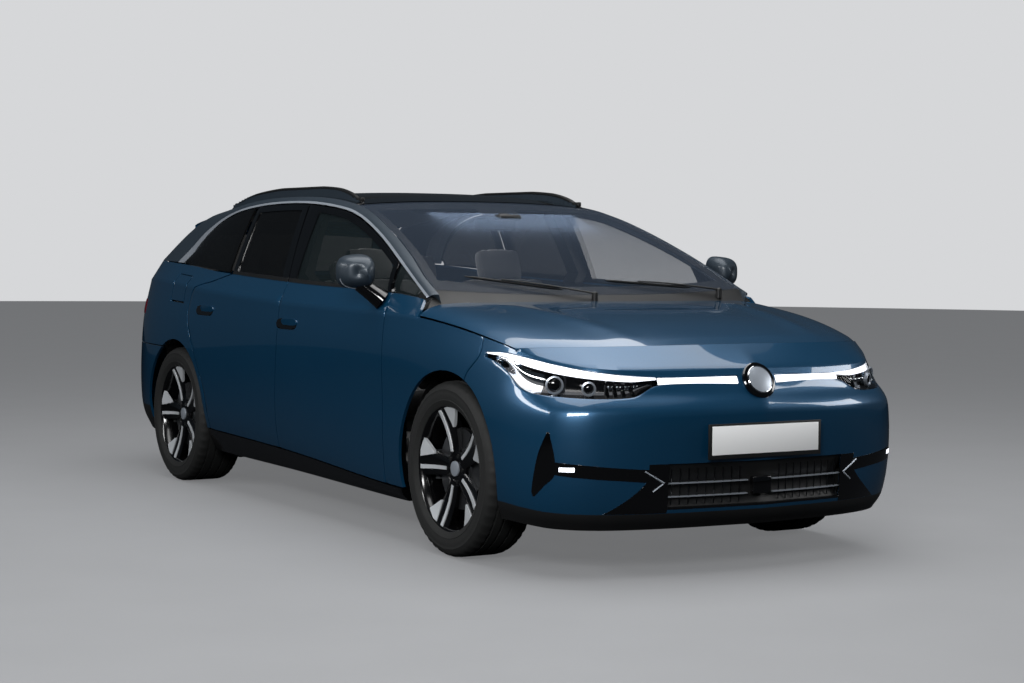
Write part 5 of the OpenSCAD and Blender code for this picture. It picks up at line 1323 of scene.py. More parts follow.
def make_tailgate():
    """Tailgate with spoiler, glass, light line, rear wiper and inner trim."""
    rows = (steps(0, 2, 12) + [2.08, 2.2] + steps(2.2, 3, 5)[1:] + [3.15, 3.3] + steps(3.3, 5.8, 16)[1:]
            + steps(5.8, 10, 40)[1:])
    cols = ([-1, -0.985, -0.96] + steps(-0.94, -0.82, 4) + steps(-0.82, 0.82, 40)[1:]
            + steps(0.82, 0.94, 4)[1:] + [0.96, 0.985, 1])
    bm = shell(rows, cols, gate_point, gate_inner, lambda r, c: not (3.3 < r < 5.8 and abs(c) < 0.82), 2.0,
               by=lambda r, c: 1 if r < 0.01 else 0)
    gate = piece("tailgate_skin", scaled(bm), ["metallic_lacquer", "gloss_abs"], "tailgate")
    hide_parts("tailgate")
    bm = shell(steps(3.28, 5.82, 24), steps(-0.826, 0.826, 32),
               lambda r, c: gate_point(r, c) - Vector((0, 3, 1)),
               lambda r, c: gate_point(r, c) - Vector((0, 8, 2.5)), None, 0.8)
    glass = piece("tailgate_pane", scaled(bm), "privacy_glass", "tailgate")
    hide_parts("tailgate_glass")
    bm = shell(steps(8.1, 8.9, 8), steps(-0.985, 0.985, 90),
               lambda r, c: gate_point(r, c) + Vector((0, 7 - 3 * abs((r - 8.5) / 0.4) ** 4, 0)),
               lambda r, c: gate_point(r, c) + Vector((0, 1, 0)), None, 0.8)
    lamp = piece("tailgate_lens", scaled(bm), "ruby_lens", "tailgate")
    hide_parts("tailgate_lamp")
    line = shell([8.45, 8.5, 8.55], steps(-0.96, 0.96, 60), lambda r, c: gate_point(r, c) + Vector((0, 8, 0)),
                 lambda r, c: gate_point(r, c) + Vector((0, 5, 0)), None, 0.5)
    bright = piece("tailgate_light_line", scaled(line), "red_light", "tailgate")
    wiper_foot = gate_point(5.55, 0.0)
    arm = tube([mix(wiper_foot, gate_point(5.1, 0.42), u) + Vector((0, 9 + 4 * math.sin(math.pi * u), 4))
                for u in steps(0, 1, 14)], lambda q: mix(7, 4, q), 8, 0.7)
    wiper = piece("rear_wiper", scaled(arm), "satin_black", "tailgate")
    trim = shell(steps(6.3, 9.7, 12), steps(-0.9, 0.9, 20), lambda r, c: gate_inner(r, c) - Vector((0, 1, 0)),
                 lambda r, c: gate_inner(r, c) - Vector((0, 4, 0)), None, 1.0)
    lining = piece("tailgate_lining", scaled(trim), "soft_trim", "tailgate")


def make_plates():
    """Blank number plates on their black plinths."""
    for end, y, z, depth in (("front", -2480.5, 527, 1), ("rear", 2480.5, 560, -1)):
        lo, hi = sorted((y, y + depth * 3))
        plate = piece(f"plate_{end}", scaled(box_mesh(-260, 260, lo, hi, z - 55.5, z + 55.5, 1.2)),
                      "plate_acrylic", "body")
        lo, hi = sorted((y + depth * 3.1, y + depth * 9.6))
        plinth = piece(f"plate_plinth_{end}", scaled(box_mesh(-275, 275, lo, hi, z - 72, z + 64, 2.0)),
                       "grained_polypropylene", "body")
        if end == "front":
            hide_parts("number_plates")


MIRROR_X, MIRROR_Z = 984, 1150


def make_mirrors():
    """Door mirrors: lacquered cap, black foot, bright strip and silvered glass."""
    for side, name in SIDES:
        body = f"front_door_{name}"

        def cap(r, c, grow=0.0):
            """Rows run round the shell from front to back, columns round its rim."""
            bulge = math.cos(r * math.pi / 2)
            reach = math.sin(r * math.pi / 2) ** 0.6
            x = abs(math.cos(c)) ** 0.6 * math.copysign(1, math.cos(c))
            z = abs(math.sin(c)) ** 0.7 * math.copysign(1, math.sin(c))
            taper = mix(1.04, 0.86, (x + 1) / 2)
            return Vector((MIRROR_X + (80 + grow) * x * reach,
                    -842 - (112 + grow) * bulge * mix(1.0, 0.72, (x + 1) / 2),
                           MIRROR_Z + (78 + grow) * z * reach * taper))

        bm = bmesh.new()
        loops = []
        for r in steps(0.04, 1, 14):
            loops.append([bm.verts.new(cap(r, 2 * math.pi * n / 48)) for n in range(48)])
        for a, b in zip(loops, loops[1:]):
            for n in range(48):
                bm.faces.new((a[n], a[(n + 1) % 48], b[(n + 1) % 48], b[n]))
        bm.faces.new(loops[0])
        back = [bm.verts.new(v.co + Vector((0, 6, 0))) for v in loops[-1]]
        inset = [bm.verts.new(Vector((mix(v.co.x, MIRROR_X, 0.09), v.co.y + 6,
                mix(v.co.z, MIRROR_Z, 0.09)))) for v in loops[-1]]
        deep = [bm.verts.new(v.co - Vector((0, 7, 0))) for v in inset]
        for a, b in ((loops[-1], back), (back, inset), (inset, deep)):
            for n in range(48):
                bm.faces.new((a[n], a[(n + 1) % 48], b[(n + 1) % 48], b[n]))
        bm.faces.new(deep)
        bmesh.ops.recalc_face_normals(bm, faces=bm.faces[:])
        shellp = piece(f"door_mirror_{name}_cap", mirrored(scaled(bm), side), "slate_lacquer", body)
        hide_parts(f"door_mirror_{name}")
        glass = bmesh.new()
        ring = [glass.verts.new(Vector((mix(cap(1, 2 * math.pi * n / 48).x, MIRROR_X, 0.11), -839.5,
                mix(cap(1, 2 * math.pi * n / 48).z, MIRROR_Z, 0.11)))) for n in range(48)]
        front = [glass.verts.new(v.co + Vector((0, -3, 0))) for v in ring]
        for n in range(48):
            glass.faces.new((ring[n], ring[(n + 1) % 48], front[(n + 1) % 48], front[n]))
        glass.faces.new(ring)
        glass.faces.new(front)
        bmesh.ops.recalc_face_normals(glass, faces=glass.faces[:])
        face = piece(f"door_mirror_{name}_glass", mirrored(scaled(glass), side), "silvered", body,
                     smooth=False)
        foot_base = body_point(-915, 5.55)
        top = Vector((968, -872, 1098))
        stem = tube([mix(foot_base, top, u) for u in steps(0, 1, 8)], lambda q: mix(44, 34, q ** 0.6), 20,
                    1.0)
        foot = piece(f"door_mirror_{name}_foot", mirrored(scaled(stem), side), "gloss_abs", body)
        strip = tube([cap(0.8, a, 0.5) for a in steps(-math.radians(150), -math.radians(20), 24)], 2.4, 8)
        bright = piece(f"door_mirror_{name}_strip", mirrored(scaled(strip), side), "satin_aluminium", body)


# ------------------------------------------------------------------ wheels

SPOKES = 5


def wheel_point(radius, sideways, x, angle):
    """A point of a wheel at a radius along a spoke's direction, sideways from it, and out along the axle."""
    return Vector((x, radius * math.sin(angle) + sideways * math.cos(angle),
                   radius * math.cos(angle) - sideways * math.sin(angle)))


def make_wheels():
    """Tyres with tread, and rims with five black spokes, turned stripes and flags."""
    for end in ("front", "rear"):
        radius, width, track, y = TYRE[end]
        for side, name in SIDES:
            body = f"wheel_{end}_{name}"
            place_wheel = lambda bm: bmesh.ops.translate(bm, vec=Vector((track, y, radius)), verts=bm.verts)
            tyre = make_tyre_mesh(radius, width)
            place_wheel(tyre)
            rubber = piece(f"tyre_{end}_{name}_tread", mirrored(scaled(tyre), side), "tyre_rubber", body)
            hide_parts(f"tyre_{end}_{name}")
            make_rim(end, side, name, body, width, place_wheel)


def make_tyre_mesh(radius, width):
    """A tyre with four rim grooves, lateral cuts over its shoulders and rings on its sidewall."""
    h = width / 2
    side = [(254, h - 24), (257, h - 12), (264, h - 9), (270, h - 5), (278, h - 2.6), (281, h - 1.2),
            (283, h - 2.4), (298, h - 0.4),
            (310, h), (322, h - 1.6), (324, h - 0.8), (327, h - 2.4), (radius - 22, h - 6),
            (radius - 12, h - 12), (radius - 6, h - 21)]
    tread = [(radius - 2, h - 31), (radius - 0.8, h - 40)]
    half = side + tread
    for g in (0.56, 0.2):
        x = g * h
        half += [(radius - 0.4, x + 6), (radius - 7, x + 4.6), (radius - 7, x - 4.6), (radius - 0.2, x - 6)]
    profile = half + [(r, -x) for r, x in reversed(half)]
    turns = 144
    bm = lathe(profile + [(250, -h + 30), (250, h - 30)], turns)
    for v in bm.verts:
        r = math.hypot(v.co.y, v.co.z)
        a = math.atan2(v.co.z, v.co.y) / (2 * math.pi) * turns
        if r > radius - 13 and abs(v.co.x) > 0.6 * h and round(a) % 3 == 0:
            v.co.y *= (r - 4.5) / r
            v.co.z *= (r - 4.5) / r
    return bm


def make_rim(end, side, name, body, width, place_wheel):
    """Barrel, spokes, turned stripes, flags, nuts, cap, and the brake disc behind them."""
    h = width / 2 - 13

    def finish_part(bm, label, material):
        place_wheel(bm)
        part = piece(f"rim_{end}_{name}_{label}", mirrored(scaled(bm), side), material, body)
        return part

    barrel = lathe([(242, -h + 8), (253, -h + 8), (253, h - 12), (262, h - 9), (264, h - 4), (264, h - 1),
                    (259, h), (252, h - 5),
                    (246, h - 14), (241, h - 30), (234, h - 60), (234, -h + 30)], 120)
    rim = finish_part(barrel, "barrel", "wheel_black")
    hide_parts(f"rim_{end}_{name}")
    lip = lathe([(257.5, h - 0.4), (263, h + 0.2), (264.4, h - 2), (263.6, h - 3), (257.5, h - 2)], 120)
    finish_part(lip, "lip", "diamond_cut_alloy")

    def front_x(r):
        """The spokes' front face: set back at the hub and level with the lip at the rim."""
        q = min(max((r - 40) / 214, 0), 1)
        return h - 30 + 24 * q ** 1.3 - 10 * math.sin(math.pi * q)

    def half_width(r):
        q = min(max((r - 50) / 200, 0), 1)
        return mix(33, 62, q)

    spokes, stripes, flags, nuts = [], [], [], []
    for i in range(SPOKES):
        a = 2 * math.pi * i / SPOKES + math.radians(15)

        def spoke(r, c, a=a):
            w = half_width(r)
            return wheel_point(r, w * c, front_x(r) - 7 * abs(c) ** 3, a)

        spokes.append(shell(steps(48, 250, 20), steps(-1, 1, 10), spoke,
                lambda r, c, a=a: spoke(r, c * 0.86) - Vector((34, 0, 0)), None, 2.5))

        def stripe(r, c, a=a):
            q = (r - 60) / 190
            mid = half_width(r) * mix(0.2, 0.42, q)
            return wheel_point(r, mid + mix(7, 9, q) * c, front_x(r) + 3.2, a)

        stripes.append(shell(steps(72, 246, 20), steps(-1, 1, 3), stripe,
                lambda r, c, a=a: stripe(r, c) - Vector((6, 0, 0)), None, 0.8))

        def flag(r, c, a=a):
            q = (r - 165) / 84
            mid = -half_width(r) * 0.82
            return wheel_point(r, mid - mix(8, 96, q) * (c - 0.34), front_x(r) + 3.2, a)

        flags.append(shell(steps(165, 249, 12), steps(0, 1, 5), flag,
                lambda r, c, a=a: flag(r, c) - Vector((12, 0, 0)), None, 0.8))
        nut = lathe([(0, 4), (9, 4), (10, 2), (10, -14), (0, -14)], 6, closed=False)
        bmesh.ops.translate(nut, vec=wheel_point(56, 0, front_x(56) - 4, a + math.pi / SPOKES),
                verts=nut.verts)
        nuts.append(nut)
    hub = lathe([(0, h - 34), (60, h - 34), (74, h - 38), (78, h - 46), (78, h - 66), (0, h - 66)], 64,
                closed=False)
    finish_part(join(hub, *spokes), "spokes", "wheel_black")
    finish_part(join(*stripes), "stripes", "diamond_cut_alloy")
    finish_part(join(*flags), "flags", "diamond_cut_alloy")
    finish_part(join(*nuts), "nuts", "satin_black")
    cap = lathe([(0, h - 26), (26, h - 26.6), (31, h - 28), (32, h - 34), (0, h - 34)], 48, closed=False)
    finish_part(cap, "cap", "satin_aluminium")
    x = 916 - 93 - TYRE[end][2]
    disc = lathe([(88, x + 22), (168, x + 22), (168, x + 15), (120, x + 15), (120, x + 8), (168, x + 8),
                  (168, x + 1), (70, x + 1), (70, x + 26), (88, x + 26)], 96)
    finish_part(disc, "brake_disc", "turned_iron")
    bell = lathe([(0, x + 30), (66, x + 30), (80, x + 27), (88, x + 22), (88, x + 2), (0, x + 2)], 64,
                 closed=False)
    finish_part(bell, "disc_bell", "dipped_steel")


# ------------------------------------------------------------------ cabin


def cushion(name, size, place, material, tilt=0.0, body="body", bulge=10, round_off=28):
    """A padded block with full edges and stitched-down seams, tilted about X and set in place."""
    x, y, z = size
    bm = bmesh.new()
    bmesh.ops.create_cube(bm, size=1.0)
    bmesh.ops.subdivide_edges(bm, edges=bm.edges[:], cuts=11, use_grid_fill=True)
    for v in bm.verts:
        p = [c * 2 for c in v.co]
        half = (x / 2, y / 2, z / 2)
        core = Vector([math.copysign(max(h - round_off, 0) * min(abs(c), 1), c) for c, h in zip(p, half)])
        n = Vector([math.copysign(1, p[i]) if abs(p[i]) > 0.999 else p[i] ** 5 for i in range(3)])
        swell = bulge * (1 - p[0] ** 2) * (1 - p[1] ** 2) if abs(p[2]) > 0.999 else 0
        swell += bulge * 0.5 * (1 - p[0] ** 2) * (1 - p[2] ** 2) if abs(p[1]) > 0.999 else 0
        v.co = core + n.normalized() * round_off + n.normalized() * swell
    for v in bm.verts:
        u = v.co.x / (x / 2)
        seam = math.exp(-((abs(u) - 0.56) / 0.05) ** 2)
        if abs(v.co.z) > z / 2 - round_off:
            v.co.z -= math.copysign(7 * seam, v.co.z)
    bmesh.ops.rotate(bm, cent=(0, 0, 0), matrix=Matrix.Rotation(tilt, 3, "X"), verts=bm.verts)
    bmesh.ops.translate(bm, vec=Vector(place), verts=bm.verts)
    bmesh.ops.recalc_face_normals(bm, faces=bm.faces[:])
    pad = piece(name, scaled(bm), material, body)
    return pad


def make_seats():
    """Two front seats and a rear bench, with head restraints, their posts, seat rails and a plinth under the
    bench.
    """
    for side, name in SIDES:
        x = side * SEAT_X
        y = -230
        base = cushion(f"front_seat_{name}_cushion", (490, 500, 128), (x, y - 45, 528), "black_leather",
                       math.radians(-3.5))
        if side > 0:
            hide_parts("front_seats")
        lean = math.radians(-20)

        def along(d, out=0.0):
            """A place up the seat back, out from its face towards the rear."""
            return Vector((x, y + 184 + d * math.sin(-lean) + out * math.cos(lean),
                    560 + d * math.cos(lean) - out * math.sin(-lean) * 0.4))

        p = along(290, 52)
        cushion(f"front_seat_{name}_back", (470, 96, 560), p, "black_leather", lean, bulge=8, round_off=30)
        q = along(648, 52)
        cushion(f"front_seat_{name}_head_rest", (238, 84, 168), q, "black_leather", lean, bulge=6,
                round_off=30)
        a, b = along(545, 50), along(600, 50)
        posts = join(*[tube([a + Vector((s * 55, 0, 0)), mix(a, b, 0.5) + Vector((s * 55, 0, 0)),
                b + Vector((s * 55, 0, 0))], 6, 10) for s in (-1, 1)])
        post = piece(f"front_seat_{name}_posts", scaled(posts), "silvered", "body")
        frame_box = join(*[box_mesh(x + dx, x + dx + 40, y - 240, y + 180, FLOOR_Z + 1, 462, 6)
                for dx in (-190, 150)])
        rail = piece(f"front_seat_{name}_rails", scaled(frame_box), "satin_black", "body")
    y = 700
    for n, (x, wide) in enumerate(((-415, 430), (0, 380), (415, 430))):
        base = cushion(f"rear_seat_cushion_{n + 1}", (wide, 440, 150), (x, y - 45, 512), "black_leather",
                       math.radians(-4))
        if not n:
            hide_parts("rear_seat")
        lean = -math.atan2(240, 1109 - 560)
        cushion(f"rear_seat_back_{n + 1}", (wide, 96, 560), (x, y + 354, 806), "black_leather", lean,
                bulge=8)
        cushion(f"rear_head_rest_{n + 1}", (222, 74, 112 if n == 1 else 140),
                (x, y + 498, 1118 if n == 1 else 1136), "black_leather", math.radians(-20), bulge=5,
                round_off=26)
    plinth = box_mesh(-630, 630, y - 236, y + 150, 391, 470, 8)
    under = piece("rear_seat_plinth", scaled(plinth), "tufted_carpet", "body")


def make_dashboard():
    """Dashboard pad, vents, displays, column shroud, console and interior mirror."""
    def pad(r, c):
        """Rows run over the pad from the screen's foot to the knees."""
        table = [[0, -1160, 936], [1, -1060, 990], [2, -900, 984], [3, -800, 978], [4, -764, 950],
                 [5, -768, 902], [6, -805, 860],
                 [7, -826, 760], [8, -850, 690], [9, -905, 648]]
        y, z = follow(table, r)
        return Vector((686 * c, y + 30 * c * c * (1 if r > 1.5 else 0), z))

    bm = shell(steps(0, 9, 54), steps(-1, 1, 50), pad, lambda r, c: pad(mix(0.3, 8.7, r / 9), c * 0.985)
               + Vector((0, -40, -26)), None, 3)
    dash = piece("dashboard_pad", scaled(bm), "soft_trim", "body")
    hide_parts("dashboard")
    trim = shell(steps(4.35, 5.15, 5), steps(-0.96, 0.96, 40), *between(pad, 2.0, -3), None, 1.0)
    strip = piece("dashboard_strip", scaled(trim), "satin_aluminium", "body")
    slats = []
    for c0, c1 in ((-0.93, -0.76), (-0.33, -0.06), (0.06, 0.33), (0.76, 0.93)):
        for r in (4.45, 4.62, 4.79, 4.96):
            slats.append(shell([r, r + 0.05], steps(c0, c1, 6), *between(pad, 3.6, 1.0), None, 0.5))
    vents = piece("dashboard_vents", scaled(join(*slats)), "satin_black", "body")
    centre = box_mesh(-176, 176, -5, 5, -104, 104, 4, 3)
    bmesh.ops.rotate(centre, cent=(0, 0, 0), matrix=Matrix.Rotation(math.radians(-8), 3, "X"),
                     verts=centre.verts)
    bmesh.ops.translate(centre, vec=Vector((0, -752, 966)), verts=centre.verts)
    screen = piece("centre_display", scaled(centre), "screen_panel", "body")
    small = box_mesh(-96, 96, -5, 5, -42, 42, 4, 3)
    bmesh.ops.rotate(small, cent=(0, 0, 0), matrix=Matrix.Rotation(math.radians(-12), 3, "X"),
                     verts=small.verts)
    bmesh.ops.translate(small, vec=Vector((-SEAT_X, -772, 982)), verts=small.verts)
    dial = piece("driver_display", scaled(small), "screen_panel", "body")
    tilt = Matrix.Rotation(-math.radians(66), 4, "X")
    place = Matrix.Translation(Vector((-SEAT_X, -620, 905))) @ tilt
    shroud = lathe([(0, -102), (30, -102), (38, -116), (42, -150), (42, -240), (0, -240)], 48, closed=False)
    bmesh.ops.rotate(shroud, cent=(0, 0, 0), matrix=Matrix.Rotation(-math.pi / 2, 3, "Y"), verts=shroud.verts)
    bmesh.ops.transform(shroud, matrix=place, verts=shroud.verts)
    column = piece("steering_column_shroud", scaled(shroud), "soft_trim", "body")
    ring = bmesh.new()
    circle = [ring.verts.new((169 + 16 * math.cos(q), 0, 14 * math.sin(q)))
              for q in (2 * math.pi * n / 20 for n in range(20))]
    loop = [ring.edges.new((circle[n], circle[(n + 1) % 20])) for n in range(20)]
    bmesh.ops.spin(ring, geom=circle + loop, cent=(0, 0, 0), axis=(0, 0, 1), angle=2 * math.pi, steps=96,
                   use_merge=True)
    bmesh.ops.remove_doubles(ring, verts=ring.verts, dist=0.01)
    bmesh.ops.recalc_face_normals(ring, faces=ring.faces[:])
    for v in ring.verts:
        if v.co.y < -120:
            v.co.y = mix(-120, v.co.y, 0.86)
    spokes = [shell(steps(0, 1, 10), steps(-1, 1, 6), lambda r, c, s=s: Vector((s * mix(48, 162, r),
            (mix(26, 15, r) * c + 4) * s, 4 - 6 * r)),
                    lambda r, c, s=s: Vector((s * mix(48, 162, r), (mix(26, 15, r) * c + 4) * s, -12)), None,
                    2) for s in (-1, 1)]
    lower = box_mesh(-16, 16, -152, -44, -10, 3, 4)
    hub = box_mesh(-68, 68, -56, 50, -18, 20, 16, 4)
    boss = lathe([(0, -10), (34, -14), (30, -90), (0, -90)], 40, closed=False)
    bmesh.ops.rotate(boss, cent=(0, 0, 0), matrix=Matrix.Rotation(-math.pi / 2, 3, "Y"), verts=boss.verts)
    whole = join(ring, hub, lower, boss, *spokes)
    bmesh.ops.transform(whole, matrix=place, verts=whole.verts)
    wheel = piece("steering_wheel_rim", scaled(whole), "black_leather", "steering_wheel")
    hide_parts("steering_wheel")
    table = [[0, -790, 600], [1, -700, 622], [2, -330, 642], [2.4, -296, 692], [3.5, 100, 694],
             [4, 150, 662], [4.3, 168, 420], [4.6, 170, FLOOR_Z + 2]]

    def console(r, c):
        y, z = follow(table, r)
        return Vector((104 * c, y, z - 10 * abs(c) ** 6))

    bm = shell(steps(0, 4.6, 40), steps(-1, 1, 16), console,
               lambda r, c: Vector((104 * c, mix(-780, 160, r / 4.6), FLOOR_Z + 2)), None, 3)
    tunnel = piece("centre_console_body", scaled(bm), "soft_trim", "body")
    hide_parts("centre_console")
    lid = box_mesh(-96, 96, -270, 110, 690, 712, 10, 3)
    arm = piece("centre_arm_rest", scaled(lid), "black_leather", "body")
    at = screen_point(0.86, 0)
    mirror = box_mesh(-112, 112, at.y + 26, at.y + 44, at.z - 92, at.z - 34, 8, 3)
    stalk = box_mesh(-26, 26, at.y - 60, at.y + 40, at.z - 42, at.z - 12, 8, 3)
    pod = box_mesh(-60, 60, at.y - 110, at.y + 24, at.z - 46, at.z - 16, 12, 3)
    inside = piece("interior_mirror", scaled(join(mirror, stalk, pod)), "satin_black", "body")


def make_linings():
    """Headlining frame, carpet and luggage trim."""
    hole_r, hole_c = (0.5 / 6.05, 4.5 / 6.05), 0.8
    lining = shell(sorted(set(steps(0.01, 0.98, 24) + list(hole_r))),
                   sorted(set(steps(-0.96, 0.96, 24) + [-hole_c, hole_c])),
                   lambda r, c: roof_point(r, c) - Vector((0, 0, 36)),
                   lambda r, c: roof_point(r, c) - Vector((0, 0, 44)),
                   lambda r, c: not (hole_r[0] < r < hole_r[1] and abs(c) < hole_c), 0)
    head = piece("headlining", scaled(lining), "pale_cloth", "body")
    carpet = shell(steps(-1150, 480, 20), steps(-688, 688, 20),
                   lambda r, c: Vector((c, r, FLOOR_Z + 7 + 1.5 * math.sin(r / 60) * math.sin(c / 70))),
                   lambda r, c: Vector((c, r, FLOOR_Z + 1)), lambda r, c: True, 0)
    mat = piece("cabin_carpet", scaled(carpet), "tufted_carpet", "body")
    boot = piece("luggage_carpet", scaled(box_mesh(-618, 618, 1076, 2262, 601, 608, 2)), "tufted_carpet",
                 "body")


# ------------------------------------------------------------------ what the frame itself shows


def dress_frame():
    """Gives the frame's visible pieces their finishes."""
    looks = {
        "floor_pan": "dipped_steel", "battery_pack": "cast_alloy", "drive_motor": "cast_alloy",
            "front_axle": "dipped_steel",
        "rear_axle": "dipped_steel", "front_bulkhead": "satin_black", "door_pillars": "satin_black",
        "wheel_liners": "grained_polypropylene", "load_floor": "soft_trim", "knuckle_left": "cast_alloy",
            "knuckle_right": "cast_alloy",
    }
    for name, look in looks.items():
        obj = frame["nodes"][name]
        obj.data.materials.clear()
        obj.data.materials.append(MATERIALS[look])


# ------------------------------------------------------------------ studio


def add_light(name, kind, place, aim, energy, size, colour="#ffffff", size_y=None):
    """An area light aimed at a point."""
    data = bpy.data.lights.new(name, kind)
    data.energy = energy
    data.color = linear(colour)[:3]
    if kind == "AREA":
        data.shape = "RECTANGLE"
        data.size = size
        data.size_y = size_y or size
    obj = bpy.data.objects.new(name, data)
    bpy.context.scene.collection.objects.link(obj)
    obj.location = place
    obj.rotation_euler = (Vector(aim) - Vector(place)).to_track_quat("-Z", "Y").to_euler()
    return obj


def make_stage():
    """Pale floor and backdrop, soft lights around the car, and the camera."""
    floor_look, tree, shader = finish("studio_floor", "#6f7072", Roughness=0.62)
    grain(tree, shader, 14.0, 0.25, 4.0, 0.002)
    place = node(tree, "ShaderNodeTexCoord")
    mottle = node(tree, "ShaderNodeTexNoise", Vector=place.outputs["Object"], Scale=2.2, Detail=6.0)
    spread = node(tree, "ShaderNodeMapRange", Value=mottle.outputs[0], To_Min=0.92, To_Max=1.06)
    tint = node(tree, "ShaderNodeMix", {"data_type": "RGBA", "blend_type": "MULTIPLY"}, i0=1.0,
                i6=linear("#6f7072"), i7=spread.outputs[0])
    tree.links.new(tint.outputs[2], shader.inputs["Base Color"])
    seen = node(tree, "ShaderNodeLightPath")
    # Painted shade: every ray but the camera's sees the floor as a dark grey, standing in for the floor lying
    # in the car's shade, so the car's lower sides reflect it dark and get little light back from it.
    shade = node(tree, "ShaderNodeBsdfDiffuse", Color=linear("#2a2c2f"))
    lift = node(tree, "ShaderNodeEmission", Color=linear("#8f9092"), Strength=0.55)
    lit = node(tree, "ShaderNodeAddShader", i0=shader.outputs[0], i1=lift.outputs[0])
    both = node(tree, "ShaderNodeMixShader", i0=seen.outputs["Is Camera Ray"], i1=shade.outputs[0],
                i2=lit.outputs[0])
    tree.links.new(both.outputs[0], tree.nodes["Material Output"].inputs["Surface"])
    wall_look, tree, shader = finish("studio_wall", "#d9dadb", Roughness=0.95)
    seen = node(tree, "ShaderNodeLightPath")
    plain = node(tree, "ShaderNodeEmission", Color=linear("#d6d7d9"), Strength=1.0)
    dim = node(tree, "ShaderNodeEmission", Color=linear("#2c3238"), Strength=1.0)
    choice = node(tree, "ShaderNodeMixShader", i0=seen.outputs["Is Camera Ray"], i1=dim.outputs[0],
                  i2=plain.outputs[0])
    tree.links.new(choice.outputs[0], tree.nodes["Material Output"].inputs["Surface"])
    bm = bmesh.new()
    bmesh.ops.create_grid(bm, x_segments=1, y_segments=1, size=44)
    mesh = bpy.data.meshes.new("studio_floor")
    bm.to_mesh(mesh)
    bm.free()
    mesh.materials.append(floor_look)
    floor = bpy.data.objects.new("studio_floor", mesh)
    bpy.context.scene.collection.objects.link(floor)
    bm = bmesh.new()
    bmesh.ops.create_cone(bm, cap_ends=False, segments=128, radius1=34, radius2=34, depth=40,
                          matrix=Matrix.Translation((0, 0, 20)))
    bmesh.ops.reverse_faces(bm, faces=bm.faces[:])
    mesh = bpy.data.meshes.new("studio_wall")
    bm.to_mesh(mesh)
    bm.free()
    mesh.materials.append(wall_look)
    wall = bpy.data.objects.new("studio_wall", mesh)
    bpy.context.scene.collection.objects.link(wall)
    add_light("overhead", "AREA", (0, -1.4, 5.8), (0, -1.4, 0), 400, 6.0, size_y=6.5)
    add_light("nose", "AREA", (-5.4, -7.4, 3.6), (-0.6, -2.0, 0.6), 380, 3.0, size_y=1.6)
    add_light("far_side", "AREA", (6.5, -5.0, 3.2), (0.6, -1.8, 0.7), 120, 3.0, size_y=2.0)
    add_light("flank", "AREA", (-7.0, 0.5, 3.6), (-0.9, 0.2, 0.9), 210, 7.0, size_y=0.7)
    fill = add_light("cabin_fill", "AREA", (0, 0.1, 1.42), (0, 0.1, 0.4), 26, 0.8, size_y=1.6)
    fill.visible_camera = fill.visible_glossy = False
    world = bpy.data.worlds.new("studio_air")
    bpy.context.scene.world = world
    world.use_nodes = True
    world.node_tree.nodes["Background"].inputs[0].default_value = linear("#c6c9cd")
    world.node_tree.nodes["Background"].inputs[1].default_value = 0.35
    yaw, pitch, roll = math.radians(31.252), math.radians(2.646), math.radians(0.536)
    forward = Vector((math.sin(yaw) * math.cos(pitch), math.cos(yaw) * math.cos(pitch), -math.sin(pitch)))
    flat = Vector((math.cos(yaw), -math.sin(yaw), 0))
    up = flat.cross(forward)
    right = flat * math.cos(roll) + up * math.sin(roll)
    up = right.cross(forward)
    camera = bpy.data.cameras.new("camera")
    camera.lens = 70.25
    camera.sensor_width = 36
    camera.shift_x = -0.0143
    camera.shift_y = -0.0033
    obj = bpy.data.objects.new("camera", camera)
    bpy.context.scene.collection.objects.link(obj)
    turn = Matrix((right, up, -forward)).transposed().to_4x4()
    obj.matrix_world = Matrix.Translation(Vector((-4.8285, -8.6286, 1.2683))) @ turn
    bpy.context.scene.camera = obj
    bpy.context.scene.view_settings.view_transform = "Standard"


# ------------------------------------------------------------------ what the sidebar offers


class WAGON_PG_settings(bpy.types.PropertyGroup):
    paint_hex: bpy.props.StringProperty(name="Paint", description="Lacquer colour as a hex code",
            default="#0e4059")


def operator(label, name, doc, work):
    """An operator that builds one group of pieces."""
    def execute(self, context):
        if not MATERIALS:
            raise RuntimeError("Make the materials first")
        work()
        return {"FINISHED"}

    return type(f"WAGON_OT_{name}", (bpy.types.Operator,), {
        "bl_idname": f"wagon.{name}", "bl_label": label, "bl_description": doc, "__doc__": doc,
            "execute": execute})


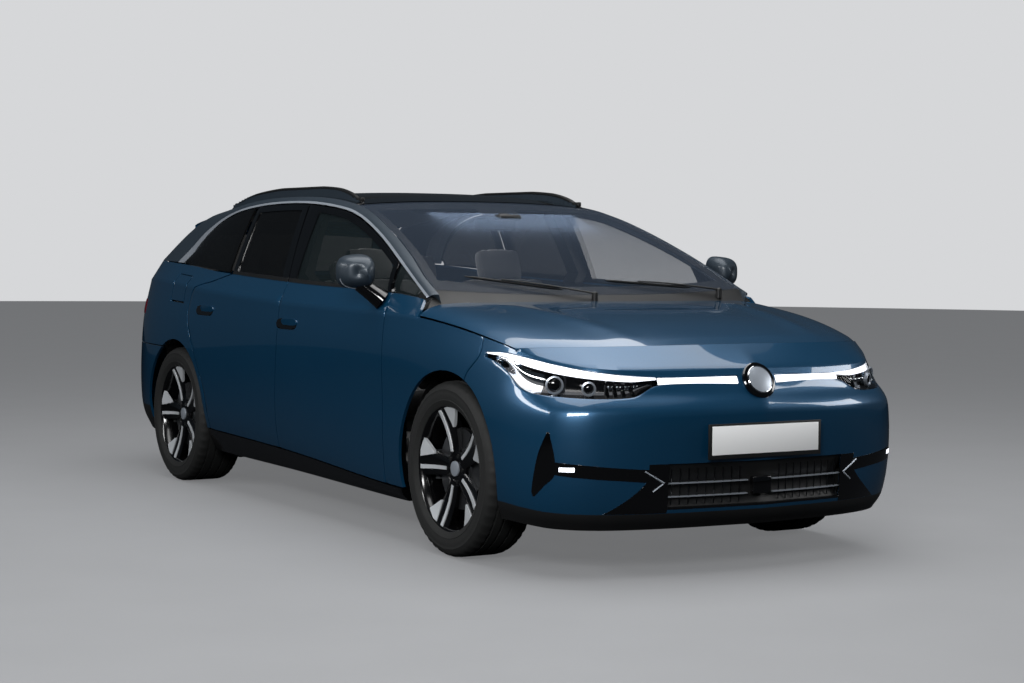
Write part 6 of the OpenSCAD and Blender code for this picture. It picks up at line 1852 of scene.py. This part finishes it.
class WAGON_OT_materials(bpy.types.Operator):
    """Makes every material of the car"""
    bl_idname = "wagon.materials"
    bl_label = "Make materials"

    def execute(self, context):
        make_materials()
        return {"FINISHED"}


GROUPS = [
    operator("Doors", "doors", "Builds the four doors", make_doors),
    operator("Side panels", "side_panels", "Builds wings, quarters, sills and window arches",
             make_side_panels),
    operator("Nose", "nose", "Builds the front bumper, lamps and grille", make_nose),
    operator("Tail", "tail", "Builds the rear bumper", make_tail),
    operator("Top", "top", "Builds roof, windscreen, rails, wipers and bonnet", make_top),
    operator("Tailgate", "tailgate", "Builds the tailgate", make_tailgate),
    operator("Plates", "plates", "Builds the blank number plates", make_plates),
    operator("Mirrors", "mirrors", "Builds the door mirrors", make_mirrors),
    operator("Wheels", "wheels", "Builds tyres and rims", make_wheels),
    operator("Seats", "seats", "Builds the seats", make_seats),
    operator("Dashboard", "dashboard", "Builds dashboard, console and steering wheel", make_dashboard),
    operator("Linings", "linings", "Builds headlining and carpets", make_linings),
    operator("Frame finishes", "frame_finishes", "Gives the frame's own pieces their materials", dress_frame),
    operator("Studio", "studio", "Builds floor, backdrop, lights and camera", make_stage),
]


class WAGON_PT_panel(bpy.types.Panel):
    bl_label = "Electric Station Wagon"
    bl_space_type = "VIEW_3D"
    bl_region_type = "UI"
    bl_category = "Wagon"

    def draw(self, context):
        self.layout.operator("wagon.materials")
        for group in GROUPS:
            self.layout.operator(group.bl_idname)


CLASSES = [WAGON_PG_settings, WAGON_OT_materials, *GROUPS, WAGON_PT_panel]


def register():
    for c in CLASSES:
        bpy.utils.register_class(c)
    bpy.types.Scene.wagon = bpy.props.PointerProperty(type=WAGON_PG_settings)


def unregister():
    del bpy.types.Scene.wagon
    for c in reversed(CLASSES):
        bpy.utils.unregister_class(c)


def main():
    """Builds the whole car and its studio."""
    register()
    bpy.ops.wagon.materials()
    for group in GROUPS:
        getattr(bpy.ops.wagon, group.bl_idname.split(".")[1])()


if __name__ == "__main__":
    main()
